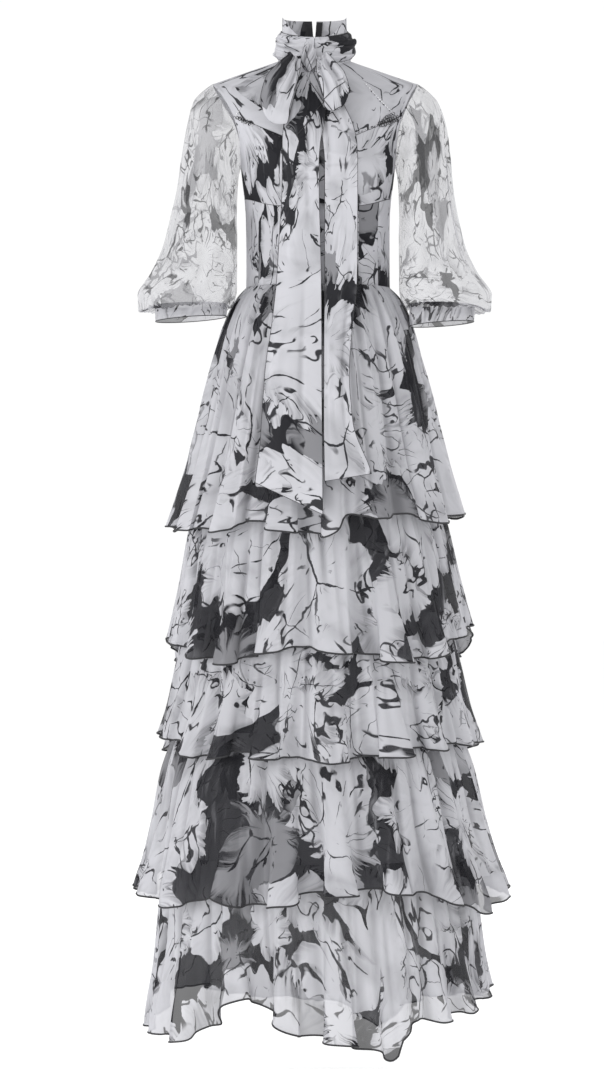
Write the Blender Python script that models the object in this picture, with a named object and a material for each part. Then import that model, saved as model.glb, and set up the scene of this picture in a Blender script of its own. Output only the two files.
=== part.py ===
"""A tiered maxi dress of printed chiffon, worn on no one: hollow bodice, full sleeves, five flounces.

Metres, +Z up. The front faces -Y and +X is to the right of someone who looks at the front.
The origin is on the centre line at the height where the shoulder seams meet the neck.
Every cloth piece is an open wall with a real thickness, lofted through sections worked out below.
"""

import math

import bmesh
import bpy
import numpy as np

# Cloth
WALL = 0.0012  # chiffon, as thick as a rigid wall may thinly be
DOUBLE_WALL = 0.0016  # collar and cuffs, which are sewn double
SEAM = 0.0002  # what each of two pieces draws back from their seam
NECK_SEAM = 0.0008  # how far the collar starts above the neck's edge
ARMHOLE_SEAM = 0.0009  # how far outside the armhole's edge the sleeve starts

# The driving sizes of the body of the dress
NECK_HALF = 0.060
SHOULDER_RUN = 0.108
SHOULDER_DROP = 0.037
ARMHOLE_MIDDLE = -0.1005
ARMHOLE_HALF_HEIGHT = 0.0675
ARMHOLE_SKEW = 0.004
ARMHOLE_HALF_DEPTH = 0.048
WAIST = -0.373
NECK_LEAN = -0.006  # the neck stands this far to the left of the hem's middle
CUP_SWELL = 0.012
CUP_ACROSS = 0.062
CUP_HEIGHT = -0.188
CUP_SPREAD = 0.042


class Sections:
    """A short table of sections, read on a smooth curve that never overshoots its rows."""

    def __init__(self, columns, rows):
        self.columns = columns.split()
        self.rows = np.array(sorted(rows), float)

    def at(self, column, key):
        x = self.rows[:, 0]
        y = self.rows[:, self.columns.index(column)]
        run = np.diff(x)
        rise = np.diff(y) / run
        slope = np.zeros(len(x))
        slope[0] = rise[0]
        slope[-1] = rise[-1]
        both = rise[:-1] * rise[1:]
        steady = both > 0
        mean = 2 * both / np.where(steady, rise[:-1] + rise[1:], 1)
        slope[1:-1] = np.where(steady, mean, 0)
        key = np.clip(np.asarray(key, float), x[0], x[-1])
        i = np.clip(np.searchsorted(x, key) - 1, 0, len(x) - 2)
        t = (key - x[i]) / run[i]
        a = (1 + 2 * t) * (1 - t) ** 2
        b = t * (1 - t) ** 2
        c = t * t * (3 - 2 * t)
        d = t * t * (t - 1)
        return a * y[i] + b * run[i] * slope[i] + c * y[i + 1] + d * run[i] * slope[i + 1]


# The torso, a row for each height: half its width at the side or armhole seam, and its depths.
BODICE = Sections(
    "height half_width front back",
    (
        (0.012, 0.060, 0.0500, 0.0570),
        (0.000, 0.060, 0.0520, 0.0560),
        (-0.020, 0.118, 0.0560, 0.0620),
        (-0.037, 0.168, 0.0610, 0.0690),
        (-0.060, 0.155, 0.0690, 0.0790),
        (-0.0965, 0.138, 0.0840, 0.0890),
        (-0.135, 0.129, 0.0990, 0.0930),
        (-0.172, 0.127, 0.1080, 0.0930),
        (-0.200, 0.1235, 0.1070, 0.0900),
        (-0.230, 0.1180, 0.0990, 0.0860),
        (-0.260, 0.1140, 0.0910, 0.0820),
        (-0.300, 0.1120, 0.0850, 0.0790),
        (-0.340, 0.1115, 0.0830, 0.0780),
        (-0.373, 0.1120, 0.0820, 0.0780),
    ),
)

# Lines round the torso, from the neck down. The side end of a line runs out along the shoulder to
# line 2, round the armhole to line 8 and down the side seam. Line 5 is the yoke seam, line 9 the
# seam under the cups and line 13 the waist.
LINES = Sections(
    "line front_middle back_middle side_seam round bend dip",
    (
        (0, -0.020, 0.012, 0.000, 0.50, 2.0, 0.000),
        (1, -0.045, -0.012, 0.000, 0.50, 1.6, 0.000),
        (2, -0.072, -0.035, 0.000, 0.55, 1.4, 0.000),
        (3, -0.096, -0.058, 0.000, 0.75, 1.2, 0.000),
        (4, -0.127, -0.080, 0.000, 0.90, 1.1, 0.000),
        (5, -0.163, -0.102, 0.000, 1.00, 1.0, 0.000),
        (6, -0.173, -0.124, 0.000, 1.00, 1.1, 0.000),
        (7, -0.186, -0.146, 0.000, 0.80, 1.3, 0.002),
        (8, -0.205, -0.170, -0.172, 0.55, 1.5, 0.006),
        (9, -0.236, -0.215, -0.228, 0.50, 1.5, 0.014),
        (10, -0.272, -0.258, -0.268, 0.50, 1.0, 0.008),
        (11, -0.306, -0.300, -0.304, 0.50, 1.0, 0.002),
        (12, -0.340, -0.338, -0.339, 0.50, 1.0, 0.000),
        (13, -0.373, -0.373, -0.373, 0.50, 1.0, 0.000),
    ),
)
SHOULDER_TIP_LINE = 2
YOKE_LINE = 5
UNDERARM_LINE = 8
CUP_LINE = 9
WAIST_LINE = 13

# Where the midriff's seams cross a half front. They fall on columns of the cups' points.
TURN_STEP = 11.25
MIDRIFF_SEAM_TURNS = (3 * TURN_STEP, 5 * TURN_STEP)


def lean(points):
    """Shifts the neck and shoulders a little to one side, as the dress stands."""
    rise = np.clip((points[..., 2] + 0.12) / 0.11, 0, 1)
    points[..., 0] += NECK_LEAN * rise * rise * (3 - 2 * rise)
    return points


def armhole(turn):
    """The armhole seam of the +X side: turn 0 at the shoulder tip, 90 in front, 180 under the arm."""
    angle = np.radians(turn)
    z = ARMHOLE_MIDDLE + ARMHOLE_HALF_HEIGHT * np.cos(angle) - ARMHOLE_SKEW * np.cos(2 * angle)
    return BODICE.at("half_width", z), -ARMHOLE_HALF_DEPTH * np.sin(angle), z


def side_end(line, face):
    """The outer end of a line round the torso: x, y and height. Face is -1 in front and 1 behind."""
    share = np.clip(line / SHOULDER_TIP_LINE, 0, 1)
    turn = np.clip((line - SHOULDER_TIP_LINE) * 30, 0, 180)
    hole_x, hole_y, hole_z = armhole(turn)
    seam_z = LINES.at("side_seam", line)
    on_shoulder = line < SHOULDER_TIP_LINE
    on_side = line > UNDERARM_LINE
    x = np.where(on_shoulder, NECK_HALF + SHOULDER_RUN * share, hole_x)
    x = np.where(on_side, BODICE.at("half_width", seam_z), x)
    z = np.where(on_shoulder, -SHOULDER_DROP * share, np.where(on_side, seam_z, hole_z))
    y = np.where(on_shoulder | on_side, 0, -face * hole_y)
    return x, y, z


def torso(line, turn, face):
    """Points of the torso: turn runs from -90 at the left seam, by 0 at the middle, to 90."""
    angle = np.radians(turn)
    across = np.sin(angle)
    side_x, side_y, side_z = side_end(line, face)
    middle = LINES.at("front_middle" if face < 0 else "back_middle", line)
    z = middle + (side_z - middle) * np.abs(across) ** LINES.at("bend", line)
    z = z - LINES.at("dip", line) * np.sin(np.pi * np.abs(across)) * (face < 0)
    full = np.abs(np.cos(angle)) ** (2 * LINES.at("round", line))
    depth = BODICE.at("front" if face < 0 else "back", z)
    x = side_x * across
    if face < 0:
        beside = (np.abs(x) - CUP_ACROSS) / CUP_SPREAD
        above = (z - CUP_HEIGHT) / CUP_SPREAD
        depth = depth + CUP_SWELL * np.exp(-beside * beside - above * above)
    y = face * depth * full + side_y * (1 - full)
    return lean(np.stack(np.broadcast_arrays(x, y, z), axis=-1))


def grid_normals(points, ring):
    """The normal at each point of a grid of rows and columns."""
    if ring:
        along = np.roll(points, -1, axis=1) - np.roll(points, 1, axis=1)
    else:
        along = np.gradient(points, axis=1)
    down = np.gradient(points, axis=0)
    normal = np.cross(along, down)
    return normal / np.maximum(np.linalg.norm(normal, axis=-1, keepdims=True), 1e-12)


def torso_normals(line, turn, face):
    """Normals of the torso from the form itself, so that two panels agree along their seam."""
    step = 0.04
    low = np.clip(turn - 60 * step, -90, 90)
    high = np.clip(turn + 60 * step, -90, 90)
    across = torso(line, high, face) - torso(line, low, face)
    upper = np.clip(line - step, 0, WAIST_LINE)
    lower = np.clip(line + step, 0, WAIST_LINE)
    down = torso(lower, turn, face) - torso(upper, turn, face)
    normal = np.cross(across, down) * face
    return normal / np.maximum(np.linalg.norm(normal, axis=-1, keepdims=True), 1e-12)


def draw_back(points, edges, amount):
    """Moves the listed edges of a grid towards its middle, to leave the seam's gap."""
    moved = points.copy()
    ends = {"top": (0, 1, 0), "bottom": (-1, -2, 0), "start": (0, 1, 1), "end": (-1, -2, 1)}
    for edge in edges:
        last, next_one, axis = ends[edge]
        here = np.take(points, last, axis=axis)
        toward = np.take(points, next_one, axis=axis) - here
        toward = toward / np.maximum(np.linalg.norm(toward, axis=-1, keepdims=True), 1e-12)
        if axis == 0:
            moved[last] += toward * amount
        else:
            moved[:, last] += toward * amount
    return moved


def paint(name, tone, roughness):
    """The plain finish that a piece carries in this file."""
    material = bpy.data.materials.new(name)
    material.use_nodes = True
    shader = material.node_tree.nodes["Principled BSDF"]
    shader.inputs["Base Color"].default_value = (*tone, 1)
    shader.inputs["Roughness"].default_value = roughness
    shader.inputs["Metallic"].default_value = 1.0 if name.startswith("zip_metal") else 0.0
    return material


def add_object(name, mesh, finish):
    """Puts a finished mesh in the dress's collection under its piece's name."""
    mesh.materials.append(finish)
    piece = bpy.data.objects.new(name, mesh)
    DRESS.objects.link(piece)
    return piece


def cloth(name, outer, normals, wall, finish, ring=False):
    """A closed wall: the outer grid, the same grid moved in by the wall, and the rims between them."""
    inner = outer - normals * wall
    rows, columns = outer.shape[:2]
    form = bmesh.new()
    layers = [[[form.verts.new(p) for p in row] for row in layer] for layer in (outer, inner)]
    last = columns if ring else columns - 1
    for layer in layers:
        for r in range(rows - 1):
            for c in range(last):
                d = (c + 1) % columns
                form.faces.new((layer[r][c], layer[r][d], layer[r + 1][d], layer[r + 1][c]))
    for r in (0, rows - 1):
        for c in range(last):
            d = (c + 1) % columns
            form.faces.new((layers[0][r][c], layers[0][r][d], layers[1][r][d], layers[1][r][c]))
    if not ring:
        for c in (0, columns - 1):
            for r in range(rows - 1):
                rim = (layers[0][r][c], layers[0][r + 1][c], layers[1][r + 1][c], layers[1][r][c])
                form.faces.new(rim)
    bmesh.ops.recalc_face_normals(form, faces=form.faces)
    mesh = bpy.data.meshes.new(name)
    form.to_mesh(mesh)
    form.free()
    mesh.shade_smooth()
    mesh.set_sharp_from_angle(angle=math.radians(50))
    return add_object(name, mesh, finish)


def torso_panel(name, face, lines, turns, finish):
    """A panel cut out of the torso along the given lines, between two turns."""
    columns = round((turns[1] - turns[0]) / TURN_STEP) + 1
    line = np.array(lines, float)[:, None] * np.ones((1, columns))
    turn = np.ones((len(lines), 1)) * np.linspace(*turns, columns)[None, :]
    normals = torso_normals(line, turn, face)
    points = draw_back(torso(line, turn, face), ("top", "bottom", "start", "end"), SEAM)
    return cloth(name, points, normals, WALL, finish)


# The lines on which the panels' points lie. They fall on the sleeves' points round the armhole.
YOKE_LINES = (0, 1, 2, 2.5, 3, 3.5, 4, 4.5, 5)
CUP_LINES = (5, 5.5, 6, 6.5, 7, 7.5, 8, 9)
MIDRIFF_LINES = (9, 10, 11.5, 13)
BACK_LINES = YOKE_LINES + CUP_LINES[1:] + MIDRIFF_LINES[1:]


def make_bodice(finish):
    """Yoke, cups, midriff and back, each cut from the torso's form."""
    inner, outer = MIDRIFF_SEAM_TURNS
    torso_panel("yoke_front", -1, YOKE_LINES, (-90, 90), finish)
    torso_panel("midriff_centre", -1, MIDRIFF_LINES, (-inner, inner), finish)
    for name, sign in (("left", -1), ("right", 1)):
        half = sorted((0.0, 90.0 * sign))
        front = sorted((inner * sign, outer * sign))
        side = sorted((outer * sign, 90.0 * sign))
        torso_panel(f"cup_{name}", -1, CUP_LINES, half, finish)
        torso_panel(f"midriff_front_{name}", -1, MIDRIFF_LINES, front, finish)
        torso_panel(f"midriff_side_{name}", -1, MIDRIFF_LINES, side, finish)
        torso_panel(f"back_{name}", 1, BACK_LINES, half, finish)


# The collar, a row for each height. Its front edge is pressed down by the tie.
COLLAR = Sections(
    "height half_width front back",
    (
        (-0.020, 0.060, 0.056, 0.058),
        (0.000, 0.060, 0.052, 0.056),
        (0.012, 0.060, 0.051, 0.057),
        (0.030, 0.0555, 0.050, 0.056),
        (0.050, 0.0535, 0.050, 0.054),
        (0.076, 0.0530, 0.050, 0.053),
    ),
)
NECK_FRONT = -0.020  # height of the neck seam at the middle of the front
NECK_BACK = 0.012
COLLAR_FRONT_TOP = 0.026
COLLAR_SIDE_TOP = 0.073
COLLAR_BACK_TOP = 0.077
COLLAR_RISE_POWER = 2.2
COLLAR_END_TURN = 179.8  # where the collar's two ends stand beside the zip
ZIP_OPEN_TOP = 0.0035  # half the gap of the open zip at the collar's top edge
ZIP_OPEN_FROM = 0.034  # the height where the gap ends, just under the slider


def collar(share, turn):
    """Points of the collar: share 0 at the neck seam, 1 at the top; turn 0 in front, 180 behind."""
    angle = np.radians(turn)
    across = np.sin(angle)
    ahead = np.cos(angle)
    front = ahead >= 0
    neck_front = NECK_FRONT * (1 - across**2)
    neck_back = NECK_BACK * (1 - across**2)
    neck = np.where(front, neck_front, neck_back)
    rise = np.abs(across) ** COLLAR_RISE_POWER
    top_front = COLLAR_FRONT_TOP + (COLLAR_SIDE_TOP - COLLAR_FRONT_TOP) * rise
    top_back = COLLAR_BACK_TOP - (COLLAR_BACK_TOP - COLLAR_SIDE_TOP) * across**2
    top = np.where(front, top_front, top_back)
    z = neck + (top - neck) * share
    x = COLLAR.at("half_width", z) * across
    y = -np.where(front, COLLAR.at("front", z), COLLAR.at("back", z)) * ahead
    near_back = np.clip((np.abs(turn) - 120) / 60, 0, 1)
    x = x + np.sign(turn) * opening_at(z) * near_back
    return lean(np.stack(np.broadcast_arrays(x, y, z), axis=-1))


def make_collar(finish):
    """The stand collar, open at the centre back."""
    rows = 5
    turn = np.arange(-180, 180 + NECK_STEP, NECK_STEP, dtype=float)
    turn[[0, -1]] = (-COLLAR_END_TURN, COLLAR_END_TURN)
    share = np.linspace(0, 1, rows)[:, None] * np.ones((1, len(turn)))
    turn = np.ones((rows, 1)) * turn[None, :]
    points = collar(share, turn)
    normals = grid_normals(points, False)
    normals = -normals if normals[0, turn.shape[1] // 2, 1] > 0 else normals
    points = draw_back(points, ("start", "end"), SEAM)
    points = draw_back(points, ("top",), NECK_SEAM)
    cloth("collar", points, normals, DOUBLE_WALL, finish)


# The tie band round the collar, with three soft folds along it. Each row is a line along the band.
TIE_BAND = Sections(
    "share height out",
    (
        (0.00, -0.0120, 0.0002),
        (0.20, -0.0030, 0.0090),
        (0.36, 0.0050, 0.0040),
        (0.52, 0.0130, 0.0105),
        (0.70, 0.0200, 0.0040),
        (0.85, 0.0260, 0.0075),
        (1.00, 0.0320, 0.0002),
    ),
)
TIE_BAND_CLEAR = 0.0016  # from the collar's face out to the band's innermost line
TIE_BAND_BACK_RISE = 0.028
TIE_BAND_SIDE_RISE = 0.004  # over the shoulder seams
TIE_BAND_END = 165  # the turn at which the band ends, clear of the zip
TIE_BAND_MEETS = 0.36  # the turn beside the middle where the two lengths meet under the knot
NECK_STEP = 15  # degrees between the columns of the collar and of the band on it


def tie_band(share, turn):
    """Points of the band that is wrapped round the collar, higher at the back than in front."""
    angle = np.radians(turn)
    across = np.sin(angle)
    ahead = np.cos(angle)
    rise = TIE_BAND_BACK_RISE * (1 - ahead) / 2 + TIE_BAND_SIDE_RISE * across * across
    z = TIE_BAND.at("height", share) + rise
    out = TIE_BAND.at("out", share) + TIE_BAND_CLEAR
    x = (COLLAR.at("half_width", z) + out) * across
    depth = np.where(ahead >= 0, COLLAR.at("front", z), COLLAR.at("back", z)) + out
    return lean(np.stack(np.broadcast_arrays(x, -depth * ahead, z), axis=-1))


def make_tie_band(finish):
    """The band, in two lengths that meet under the knot and end beside the zip."""
    steps = np.arange(0, TIE_BAND_END + NECK_STEP, NECK_STEP, dtype=float)
    steps[0] = TIE_BAND_MEETS
    columns = len(steps)
    for name, sign in (("left", -1), ("right", 1)):
        share = TIE_BAND.rows[:, :1] * np.ones((1, columns))
        turn = np.ones((len(share), 1)) * np.sort(steps * sign)[None, :]
        points = tie_band(share, turn)
        normals = grid_normals(points, False)
        outward = points[:, columns // 2, :2].mean(axis=0)
        facing = (normals[:, columns // 2, :2].mean(axis=0) * outward).sum()
        normals = normals if facing > 0 else -normals
        points = draw_back(points, ("start", "end"), SEAM)
        cloth(f"tie_band_{name}", points, normals, WALL, finish)


# The bow. Each loop is a row of stations along its strip, from the knot down and back up behind.
LOOP_COLUMNS = "station x y z half_width"
LOOPS = {
    "left": Sections(
        LOOP_COLUMNS,
        (
            (0, -0.0373, -0.0763, -0.004, 0.011),
            (1, -0.0480, -0.1060, -0.028, 0.019),
            (2, -0.0630, -0.1200, -0.060, 0.026),
            (3, -0.0700, -0.1220, -0.090, 0.026),
            (4, -0.0700, -0.1130, -0.108, 0.022),
            (5, -0.0650, -0.1040, -0.097, 0.020),
            (6, -0.0540, -0.0950, -0.060, 0.018),
            (7, -0.0385, -0.0728, -0.016, 0.011),
        ),
    ),
    "right": Sections(
        LOOP_COLUMNS,
        (
            (0, 0.0054, -0.0763, -0.003, 0.010),
            (1, 0.0120, -0.1040, -0.024, 0.017),
            (2, 0.0230, -0.1170, -0.048, 0.022),
            (3, 0.0290, -0.1180, -0.072, 0.023),
            (4, 0.0290, -0.1100, -0.086, 0.020),
            (5, 0.0250, -0.1010, -0.072, 0.018),
            (6, 0.0170, -0.0940, -0.048, 0.015),
            (7, 0.0072, -0.0738, -0.014, 0.010),
        ),
    ),
}
LOOP_ACROSS = {"left": (0.88, 0.0, -0.47), "right": (0.88, 0.0, 0.47)}
LOOP_CROWN = 0.003  # how far the middle of a loop's strip stands over its edges
KNOT_CENTRE = (-0.0155, -0.0741, -0.006)
KNOT_HALF = (0.0125, 0.0125, 0.0230)


def loop(name, along, across):
    """Points of a bow loop: along 0 to 7 from end to end, across -1 to 1 over its width."""
    table = LOOPS[name]
    middle = np.stack([table.at(axis, along) for axis in "xyz"], axis=-1)
    half = table.at("half_width", along)
    wide = np.array(LOOP_ACROSS[name])
    points = middle + wide * (half * across)[..., None]
    layer = np.cos(np.pi * np.clip(along / 7, 0, 1))
    points[..., 1] += LOOP_CROWN * layer * across**2 * np.sin(np.pi * along / 7)
    return points


def make_bow(finish):
    """Two loops and the knot that holds them."""
    rows, columns = 15, 5
    for name in LOOPS:
        along = np.linspace(0, 7, rows)[:, None] * np.ones((1, columns))
        across = np.ones((rows, 1)) * np.linspace(-1, 1, columns)[None, :]
        points = loop(name, along, across)
        normals = grid_normals(points, False)
        normals = normals if normals[4, 2, 1] < 0 else -normals
        cloth(f"tie_loop_{name}", points, normals, WALL, finish)
    bpy.ops.mesh.primitive_uv_sphere_add(segments=12, ring_count=7, radius=1.0)
    knot = bpy.context.object
    for vertex in knot.data.vertices:
        vertex.co = [c + h * v for c, h, v in zip(KNOT_CENTRE, KNOT_HALF, vertex.co)]
    knot.data.shade_smooth()
    knot.data.name = "tie_knot"
    for owner in list(knot.users_collection):
        owner.objects.unlink(knot)
    knot.name = "tie_knot"
    knot.data.materials.append(finish)
    DRESS.objects.link(knot)


# The tails of the tie, a row for each height: both edges, and how far in front the tail hangs.
TAIL_COLUMNS = "height left right reach"
TAILS = {
    "left": Sections(
        TAIL_COLUMNS,
        (
            (-0.030, -0.0270, -0.0075, 0.0700),
            (-0.060, -0.0420, -0.0055, 0.0775),
            (-0.090, -0.0520, -0.0040, 0.0880),
            (-0.120, -0.0560, -0.0020, 0.1010),
            (-0.150, -0.0580, 0.0000, 0.1110),
            (-0.185, -0.0580, 0.0005, 0.1200),
            (-0.228, -0.0585, 0.0010, 0.1205),
            (-0.300, -0.0630, 0.0030, 0.1130),
            (-0.373, -0.0675, 0.0045, 0.1080),
            (-0.450, -0.0760, 0.0050, 0.1260),
            (-0.525, -0.0860, 0.0050, 0.1550),
            (-0.629, -0.0924, 0.0055, 0.1900),
            (-0.698, -0.1000, 0.0060, 0.2150),
            (-0.750, -0.1020, 0.0060, 0.2340),
        ),
    ),
    "right": Sections(
        TAIL_COLUMNS,
        (
            (-0.020, -0.0062, 0.0080, 0.0662),
            (-0.060, 0.0000, 0.0300, 0.0775),
            (-0.090, 0.0040, 0.0440, 0.0880),
            (-0.120, 0.0080, 0.0560, 0.1010),
            (-0.150, 0.0100, 0.0620, 0.1110),
            (-0.185, 0.0100, 0.0630, 0.1200),
            (-0.228, 0.0100, 0.0630, 0.1205),
            (-0.300, 0.0100, 0.0630, 0.1130),
            (-0.373, 0.0100, 0.0620, 0.1080),
            (-0.450, 0.0090, 0.0540, 0.1260),
            (-0.525, 0.0085, 0.0490, 0.1550),
            (-0.600, 0.0080, 0.0540, 0.1810),
            (-0.690, 0.0090, 0.0840, 0.2120),
            (-0.700, 0.0090, 0.0850, 0.2150),
        ),
    ),
}
TAIL_TOPS = {"left": -0.0294, "right": -0.0200}
TAIL_ENDS = {"left": (-0.698, -0.748), "right": (-0.696, -0.684)}  # heights of both end corners
TAIL_FOLD = 0.0050  # how far the lengthwise fold stands proud
TAIL_FOLD_AT = {"left": 0.36, "right": 0.45}
TAIL_LIFT = 0.004  # a tail's edges hang this far in front of what is behind them
TAIL_BEND_RADIUS = 0.30  # the tails follow the skirt's round front below the waist
TAIL_BEND_FROM = -0.40
TAIL_BEND_RUN = 0.20


def tail(name, share, across):
    """Points of a tail: share 0 at the knot, 1 at its cut end; across 0 to 1 from left to right."""
    left_end, right_end = TAIL_ENDS[name]
    end = left_end + (right_end - left_end) * across
    z = TAIL_TOPS[name] + (end - TAIL_TOPS[name]) * share
    table = TAILS[name]
    left = table.at("left", z)
    right = table.at("right", z)
    x = left + (right - left) * across
    fold = TAIL_FOLD * np.exp(-(((across - TAIL_FOLD_AT[name]) / 0.20) ** 2)) * np.sqrt(share)
    below = np.clip((TAIL_BEND_FROM - z) / TAIL_BEND_RUN, 0, 1)
    bend = x * x / (2 * TAIL_BEND_RADIUS) * below
    y = -(table.at("reach", z) + TAIL_LIFT + fold - bend)
    return np.stack(np.broadcast_arrays(x, y, z), axis=-1)


def make_tails(finish):
    """The two long tails of the tie."""
    rows, columns = 15, 6
    for name in TAILS:
        share = np.linspace(0, 1, rows)[:, None] * np.ones((1, columns))
        across = np.ones((rows, 1)) * np.linspace(0, 1, columns)[None, :]
        points = tail(name, share, across)
        normals = grid_normals(points, False)
        normals = normals if normals[4, 2, 1] < 0 else -normals
        cloth(f"tie_tail_{name}", points, normals, WALL, finish)


# The sleeve, a row for each ring below the armhole: its outer and inner points as seen from the
# front, half its depth and how far forward it hangs.
SLEEVE = Sections(
    "ring outer_x outer_z inner_x inner_z half_depth forward",
    (
        (0, 0.1688, -0.0370, 0.1278, -0.1720, 0.0480, 0.000),
        (1, 0.1980, -0.0640, 0.1310, -0.1900, 0.0620, -0.002),
        (2, 0.2110, -0.1120, 0.1335, -0.2200, 0.0700, -0.006),
        (3, 0.2180, -0.1630, 0.1345, -0.2550, 0.0740, -0.010),
        (4, 0.2260, -0.2130, 0.1345, -0.2900, 0.0780, -0.016),
        (5, 0.2370, -0.2620, 0.1345, -0.3220, 0.0810, -0.022),
        (6, 0.2520, -0.3120, 0.1345, -0.3500, 0.0850, -0.028),
        (7, 0.2720, -0.3520, 0.1345, -0.3760, 0.0880, -0.032),
        (8, 0.2910, -0.3880, 0.1370, -0.3960, 0.0880, -0.035),
        (9, 0.2860, -0.4100, 0.1430, -0.4040, 0.0800, -0.035),
        (10, 0.2600, -0.4045, 0.1500, -0.4020, 0.0560, -0.035),
    ),
)
SLEEVE_COLUMNS = 24
SLEEVE_FOLDS = 6
SLEEVE_FOLD = 0.0035
SLEEVE_FOLD_DRIFT = 0.9  # makes the folds uneven round the sleeve
SLEEVE_FOLD_START = 0.6
SLEEVE_INNER_FOLD = 0.25  # the share of a fold's size that is left beside the body
SLEEVE_SWING = {"left": 0.006, "right": -0.005}  # the left sleeve hangs wider than the right
SWING_RINGS = 5
LAST_RING = 10
CUFF_INNER = 0.1500
CUFF_WIDTH = 0.1100
CUFF_FORWARD = 0.0350
CUFF_HALF_DEPTH = 0.0560
CUFF_TOP = -0.4051  # 0.6 mm under the sleeve's last ring
CUFF_TOP_SLOPE = 0.0025  # the inner end of its top is this much higher
CUFF_DEPTH = 0.026
CUFF_SLOPE = {"left": 0.006, "right": -0.010}  # how much higher the inner end of the cuff's hem is


def swing(name, ring):
    """How far out a sleeve hangs from the measured mean, growing from nothing at the armhole."""
    return SLEEVE_SWING[name] * np.clip(ring / SWING_RINGS, 0, 1)


def sleeve(name, ring, turn):
    """Points of a sleeve on the +X side: turn 0 outside, 90 in front, 180 inside, 270 behind."""
    angle = np.radians(turn)
    outer_x = SLEEVE.at("outer_x", ring) + swing(name, ring)
    inner_x = SLEEVE.at("inner_x", ring)
    outer_z = SLEEVE.at("outer_z", ring)
    inner_z = SLEEVE.at("inner_z", ring)
    hole_x, hole_y, hole_z = armhole(turn)
    at_hole = np.clip(1 - ring, 0, 1)
    outside = (1 + np.cos(angle)) / 2
    x = inner_x + (outer_x - inner_x) * outside
    z = inner_z + (outer_z - inner_z) * outside
    y = SLEEVE.at("forward", ring) - SLEEVE.at("half_depth", ring) * np.sin(angle)
    x = x * (1 - at_hole) + (hole_x + ARMHOLE_SEAM) * at_hole
    y = y * (1 - at_hole) + hole_y * at_hole
    z = z * (1 - at_hole) + hole_z * at_hole
    strength = np.clip(ring / 2, 0, 1) * np.clip((LAST_RING - ring) / 2, 0, 1)
    drift = SLEEVE_FOLD_DRIFT * np.sin(angle * 2 + SLEEVE_FOLD_START)
    folds = np.sin(np.radians(turn * SLEEVE_FOLDS) + drift)
    gain = SLEEVE_INNER_FOLD + (1 - SLEEVE_INNER_FOLD) * outside
    ease = SLEEVE_FOLD * strength * folds * gain
    x = x + ease * np.cos(angle)
    y = y - ease * np.sin(angle)
    return np.stack(np.broadcast_arrays(x, y, z), axis=-1)


def mirrored(points, sign):
    """The same points on the side that sign gives, with the neck's lean."""
    points = points.copy()
    points[..., 0] *= sign
    return lean(points)


def outward_normals(points, centre):
    """Ring normals turned to point away from the rings' middles."""
    normals = grid_normals(points, True)
    facing = ((points - centre) * normals).sum(axis=-1).mean()
    return normals if facing > 0 else -normals


def make_sleeves(finish):
    """Both full sleeves, which blouse over the cuffs."""
    rings = np.array([0, 0.5, 1, 2, 3.5, 5, 6, 7, 8, 9, 10])
    for name, sign in (("left", -1), ("right", 1)):
        turn = np.arange(SLEEVE_COLUMNS) * 360 / SLEEVE_COLUMNS
        points = sleeve(name, rings[:, None] * np.ones(SLEEVE_COLUMNS), turn + 0 * rings[:, None])
        points = mirrored(points, sign)
        middle = points.mean(axis=1, keepdims=True)
        cloth(f"sleeve_{name}", points, outward_normals(points, middle), WALL, finish, ring=True)


def cuff(name, share, turn):
    """Points of a cuff on the +X side, just under the sleeve's last ring."""
    angle = np.radians(turn)
    outside = (1 + np.cos(angle)) / 2
    x = CUFF_INNER + (CUFF_WIDTH + swing(name, LAST_RING)) * outside
    y = -CUFF_FORWARD - CUFF_HALF_DEPTH * np.sin(angle)
    top = CUFF_TOP + CUFF_TOP_SLOPE * (1 - outside)
    bottom = top - CUFF_DEPTH + CUFF_SLOPE[name] * (1 - outside)
    z = top + (bottom - top) * share
    return np.stack(np.broadcast_arrays(x, y, z), axis=-1)


def make_cuffs(finish):
    """The double cuffs."""
    share = np.linspace(0, 1, 3)
    for name, sign in (("left", -1), ("right", 1)):
        turn = np.arange(SLEEVE_COLUMNS) * 360 / SLEEVE_COLUMNS
        points = cuff(name, share[:, None] * np.ones(SLEEVE_COLUMNS), turn + 0 * share[:, None])
        points = mirrored(points, sign)
        middle = points.mean(axis=1, keepdims=True)
        normals = outward_normals(points, middle)
        cloth(f"cuff_{name}", points, normals, DOUBLE_WALL, finish, ring=True)


# The skirt that carries the flounces, a row for each height, as half its width.
BASE_SKIRT = Sections(
    "height half_width",
    (
        (-0.373, 0.1095),
        (-0.400, 0.1210),
        (-0.450, 0.1400),
        (-0.550, 0.1640),
        (-0.700, 0.1900),
        (-0.905, 0.2100),
        (-1.095, 0.2280),
        (-1.300, 0.2450),
        (-1.335, 0.2480),
    ),
)
BASE_TOP = WAIST - 0.0006  # just under the bodice
BASE_BOTTOM = -1.335
FRONT_FLATNESS = Sections("height share", ((-0.373, 0.735), (-0.50, 0.775), (-0.75, 0.85)))
BACK_FLATNESS = Sections("height share", ((-0.373, 0.700), (-0.50, 0.770), (-0.75, 0.85)))

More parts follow.
